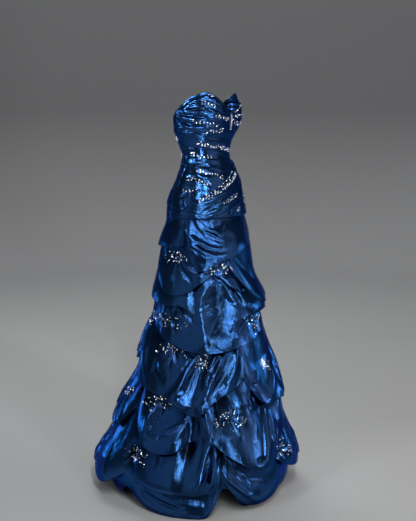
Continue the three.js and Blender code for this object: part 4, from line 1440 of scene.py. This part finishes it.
class DRESS_OT_zip(bpy.types.Operator):
    """Fits the teeth to the zip, and finishes its chain, slider and pull"""

    bl_idname = "dress.zip"
    bl_label = "Fit the zip"

    def execute(self, context):
        coil = zip_finish("zip_coil", (0.01, 0.02, 0.08, 1.0), (0.03, 0.06, 0.2, 1.0), 0.0, 0.4)
        metal = zip_finish("zip_lacquer", (0.03, 0.05, 0.16, 1.0), (0.12, 0.16, 0.3, 1.0), 0.85, 0.25)
        finish_node("zip_chain", coil)
        finish_node("zip_slider", metal)
        finish_node("zip_pull", metal)
        wear(show_mesh("zip_teeth", *zip_teeth(), smooth=False), coil)
        return {"FINISHED"}


# Rows of stitches: how far they lie from the edge, the pitch as a share of a stitch's length, the radius at
# which that pitch is right, and half the thread's thickness.
NECK_STITCH = {"in": 5.0, "pitch": 1.5, "radius": 110, "thick": 0.35}
HEM_STITCH = {"in": 11.0, "pitch": 1.6, "radius": 320, "thick": 0.45}
THREAD_SIDES = 5


def stitch_row(surface, headings, heights, long, thick):
    """A row of short threads along the cloth: each a spindle, a ring of points between two pointed ends,
    half sunk in it."""
    here, out, around, up = frames_on(surface, headings, heights)
    turn = np.arange(THREAD_SIDES) * 2 * np.pi / THREAD_SIDES
    ring = np.stack([np.cos(turn), np.sin(turn)], axis=-1) * thick
    middle = up[:, None] * ring[None, :, :1] + out[:, None] * (ring[None, :, 1:] + 0.2)
    ends = np.stack([around * -long / 2, around * long / 2], axis=1)
    verts = here[:, None] + np.concatenate([middle, ends], axis=1) / 1000
    i = np.arange(THREAD_SIDES)
    j, start, end = np.roll(i, -1), 0 * i + THREAD_SIDES, 0 * i + THREAD_SIDES + 1
    faces = np.stack([i, j, start, j, i, end], axis=-1).reshape(-1, 3)
    index = faces[None] + (np.arange(len(headings)) * (THREAD_SIDES + 2))[:, None, None]
    return verts.reshape(-1, 3), index.reshape(-1, 3)


class DRESS_OT_stitching(bpy.types.Operator):
    """Sews visible stitches along the neckline and above the hem"""

    bl_idname = "dress.stitching"
    bl_label = "Stitch the edges"

    def execute(self, context):
        long = context.scene.dress_measures.stitch * 1000
        neck, hem = NECK_STITCH, HEM_STITCH
        rows = []
        for name in ("back_right", "bust_right", "bust_left", "back_left"):
            start, end = PANELS[name]["start"] + 2, PANELS[name]["end"] - 1
            headings = np.arange(start, end, np.degrees(neck["pitch"] * long / neck["radius"]))
            heights = neckline(headings) - neck["in"]
            rows.append(stitch_row(panel_surface(name), headings, heights, long, neck["thick"]))
        headings = np.arange(-180, 180, np.degrees(hem["pitch"] * long / hem["radius"]))
        heights = hem_height(headings - SHOW_SIDE) + hem["in"]
        rows.append(stitch_row(skirt_place, headings, heights, long, hem["thick"]))
        wear(show_mesh("stitching", *joined(rows), smooth=False), thread("sewing_thread"))
        return {"FINISHED"}


# ---------------------------------------------------------------- stage

TOWARDS = np.array([math.sin(math.radians(SHOW_SIDE)), -math.cos(math.radians(SHOW_SIDE)), 0.0])
RIGHTWARDS = np.array([math.cos(math.radians(SHOW_SIDE)), math.sin(math.radians(SHOW_SIDE)), 0.0])

# The camera: metres from the dress's axis and above the waist, degrees that it looks down and to the right,
# its focal length as a share of the image's height, its sensor in millimetres, and how many metres it
# sees.
CAMERA = {"away": 3.30, "height": 0.14, "down": 8.9, "right": 0.093, "focal": 925.0 / 521.0}
SENSOR, SEES = 36.0, 60.0

# The lamps: place and target as metres towards the camera, to the right and above the waist, width and
# height, watts, colour, and the spread in degrees that a grid over the lamp leaves, 180 where it has none.
COOL, PALE, ROSY, WHITE = (0.80, 0.93, 1.0), (0.93, 0.98, 0.95), (1.0, 0.70, 0.66), (1.0, 1.0, 1.0)
LAMPS = (
    ("waist_strip", (2.7, 1.05, -0.4), (0, 0, -0.1), (0.10, 1.5), 7.5, PALE, 120),
    ("skirt_strip", (2.6, 0.35, 1.55), (0, 0, -0.5), (0.13, 1.9), 33, PALE, 180),
    ("key", (2.35, 1.6, 1.35), (0, 0, -0.12), (0.26, 0.9), 0.34, PALE, 20),
    ("bust_near", (2.3, -1.3, 0.55), (0, 0, 0.32), (0.8, 0.5), 0.75, PALE, 12),
    ("bust_far", (1.4, -2.2, 0.5), (0, 0, 0.30), (0.9, 0.6), 0.95, PALE, 13),
    ("bust_side", (-0.5, -2.55, 0.45), (0, 0, 0.32), (0.7, 0.35), 0.28, PALE, 12),
    ("fill", (2.2, -2.2, 0.5), (0, 0, -0.3), (2.6, 2.6), 6, COOL, 180),
    ("grey", (1.1, 2.9, 0.5), (0, 0, -0.3), (2.2, 2.2), 10, ROSY, 180),
    ("right", (-0.9, 2.8, -0.3), (0, 0, -1.0), (0.22, 0.9), 0.26, WHITE, 24),
    ("high", (1.4, -1.8, 2.2), (0, 0, -0.8), (1.0, 0.2), 0.12, WHITE, 14),
    ("low_right", (0.9, 2.8, -0.5), (0, 0, -1.14), (0.10, 1.0), 0.10, WHITE, 15),
    ("left", (-1.5, -2.6, -0.6), (0, 0, -0.95), (0.25, 0.6), 0.17, WHITE, 28),
    ("rear", (-2.3, -0.9, 2.3), (0, 0, -0.4), (1.8, 1.2), 22, PALE, 180),
    ("backdrop", (-2.2, 0.0, 4.2), (-5.6, 0.0, -0.6), (3.0, 1.0), 40, WHITE, 180),
)


def spot(ahead, right, up):
    """A place from metres towards the camera, to its right and above the waist."""
    return tuple(TOWARDS * ahead + RIGHTWARDS * right + np.array([0, 0, up]))


def softbox(name, position, target, size, power, color, spread):
    """An area lamp turned to its target."""
    lamp = bpy.data.lights.new(name, "AREA")
    lamp.spread = math.radians(spread)
    lamp.shape = "RECTANGLE"
    lamp.size, lamp.size_y = size
    lamp.energy = power
    lamp.color = color
    obj = bpy.data.objects.new(name, lamp)
    obj.location = position
    obj.rotation_euler = (Vector(target) - Vector(position)).to_track_quat("-Z", "Y").to_euler()
    bpy.context.scene.collection.objects.link(obj)


def camera_at_show_side():
    """The camera, level across, that looks at the show side and a little down."""
    camera = bpy.data.cameras.new("camera")
    camera.sensor_width = SENSOR
    camera.lens = CAMERA["focal"] * SENSOR
    camera.clip_end = SEES
    down = math.radians(CAMERA["down"])
    ahead = -TOWARDS + RIGHTWARDS * math.tan(math.radians(CAMERA["right"]))
    ahead = ahead / np.linalg.norm(ahead) * math.cos(down) - np.array([0, 0, math.sin(down)])
    obj = bpy.data.objects.new("camera", camera)
    obj.location = spot(CAMERA["away"], 0, CAMERA["height"])
    obj.rotation_euler = Vector(ahead).to_track_quat("-Z", "Y").to_euler()
    bpy.context.scene.collection.objects.link(obj)
    return obj


# The studio in metres: radius of the flat floor and of its bend into the wall, the wall's height, a pinhole
# in the middle, and how far it lies below the hem. Then how many sides it has, and points round its bend.
STUDIO = {"flat": 4.6, "bend": 1.6, "height": 5.0, "hole": 0.001, "below": 0.001, "sides": 96, "points": 13}


def studio_shell():
    """A round floor that bends up into a wall: a profile of radius and height, carried round the dress's
    axis."""
    turn = np.linspace(0, np.pi / 2, STUDIO["points"])
    flat, bend = STUDIO["flat"], STUDIO["bend"]
    radii = np.concatenate([[STUDIO["hole"]], flat + bend * np.sin(turn), [flat + bend]])
    heights = np.concatenate([[0], bend * (1 - np.cos(turn)), [STUDIO["height"]]])
    round_at = (np.arange(STUDIO["sides"]) * 2 * np.pi / STUDIO["sides"])[:, None]
    across, along = radii * np.cos(round_at), radii * np.sin(round_at)
    ground = -WAIST_HEIGHT / 1000 - STUDIO["below"]
    points = np.stack([across, along, heights + ground + 0 * across], axis=-1)
    index = np.arange(points.shape[0] * points.shape[1]).reshape(points.shape[:2])
    beside = np.roll(index, -1, axis=0)
    faces = np.stack([index[:, :-1], index[:, 1:], beside[:, 1:], beside[:, :-1]], axis=-1)
    return points.reshape(-1, 3), faces.reshape(-1, 4)


class DRESS_OT_stage(bpy.types.Operator):
    """Sets the floor, the lamps and the camera"""

    bl_idname = "dress.stage"
    bl_label = "Set the stage"

    def execute(self, context):
        look = context.scene.dress_stage
        scene = context.scene
        scene.view_settings.view_transform = "Standard"
        world = bpy.data.worlds.new("studio")
        scene.world = world
        world.use_nodes = True
        back = world.node_tree.nodes["Background"]
        back.inputs["Color"].default_value = (0.93, 0.96, 1.0, 1.0)
        back.inputs["Strength"].default_value = look.surround
        floor = show_mesh("floor", *studio_shell())
        floor.data.materials.append(studio_paint("floor_paint", look.floor, look.wall))
        for name, position, target, size, power, color, spread in LAMPS:
            softbox(name, spot(*position), spot(*target), size, power * look.light, color, spread)
        scene.camera = camera_at_show_side()
        return {"FINISHED"}


class DRESS_PT_panel(bpy.types.Panel):
    """The dress's steps, in the order in which they are done"""

    bl_idname = "DRESS_PT_panel"
    bl_label = "Evening dress"
    bl_space_type = "VIEW_3D"
    bl_region_type = "UI"
    bl_category = "Dress"

    def draw(self, context):
        column = self.layout.column()
        for group in GROUPS:
            values = getattr(context.scene, group)
            for key in values.bl_rna.properties.keys():
                if key not in ("rna_type", "name"):
                    column.prop(values, key)
        for operator in OPERATORS:
            column.operator(operator.bl_idname)


GROUPS = {
    "dress_cloth": DressCloth,
    "dress_measures": DressMeasures,
    "dress_beads": DressBeads,
    "dress_stage": DressStage,
}
OPERATORS = (
    DRESS_OT_stage,
    DRESS_OT_skirt,
    DRESS_OT_bodice,
    DRESS_OT_beads,
    DRESS_OT_zip,
    DRESS_OT_stitching,
)


def register():
    """Adds the values to the scene, then the operators and the panel."""
    for name, group in GROUPS.items():
        bpy.utils.register_class(group)
        setattr(bpy.types.Scene, name, bpy.props.PointerProperty(type=group))
    for operator in OPERATORS:
        bpy.utils.register_class(operator)
    bpy.utils.register_class(DRESS_PT_panel)


def unregister():
    """Takes them all away again, the last one first."""
    bpy.utils.unregister_class(DRESS_PT_panel)
    for operator in reversed(OPERATORS):
        bpy.utils.unregister_class(operator)
    for name, group in GROUPS.items():
        delattr(bpy.types.Scene, name)
        bpy.utils.unregister_class(group)


def main():
    """Builds the stage and the dress."""
    register()
    bpy.ops.dress.stage()
    bpy.ops.dress.skirt()
    bpy.ops.dress.bodice()
    bpy.ops.dress.beads()
    bpy.ops.dress.zip()
    bpy.ops.dress.stitching()
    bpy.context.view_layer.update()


if __name__ == "__main__":
    main()
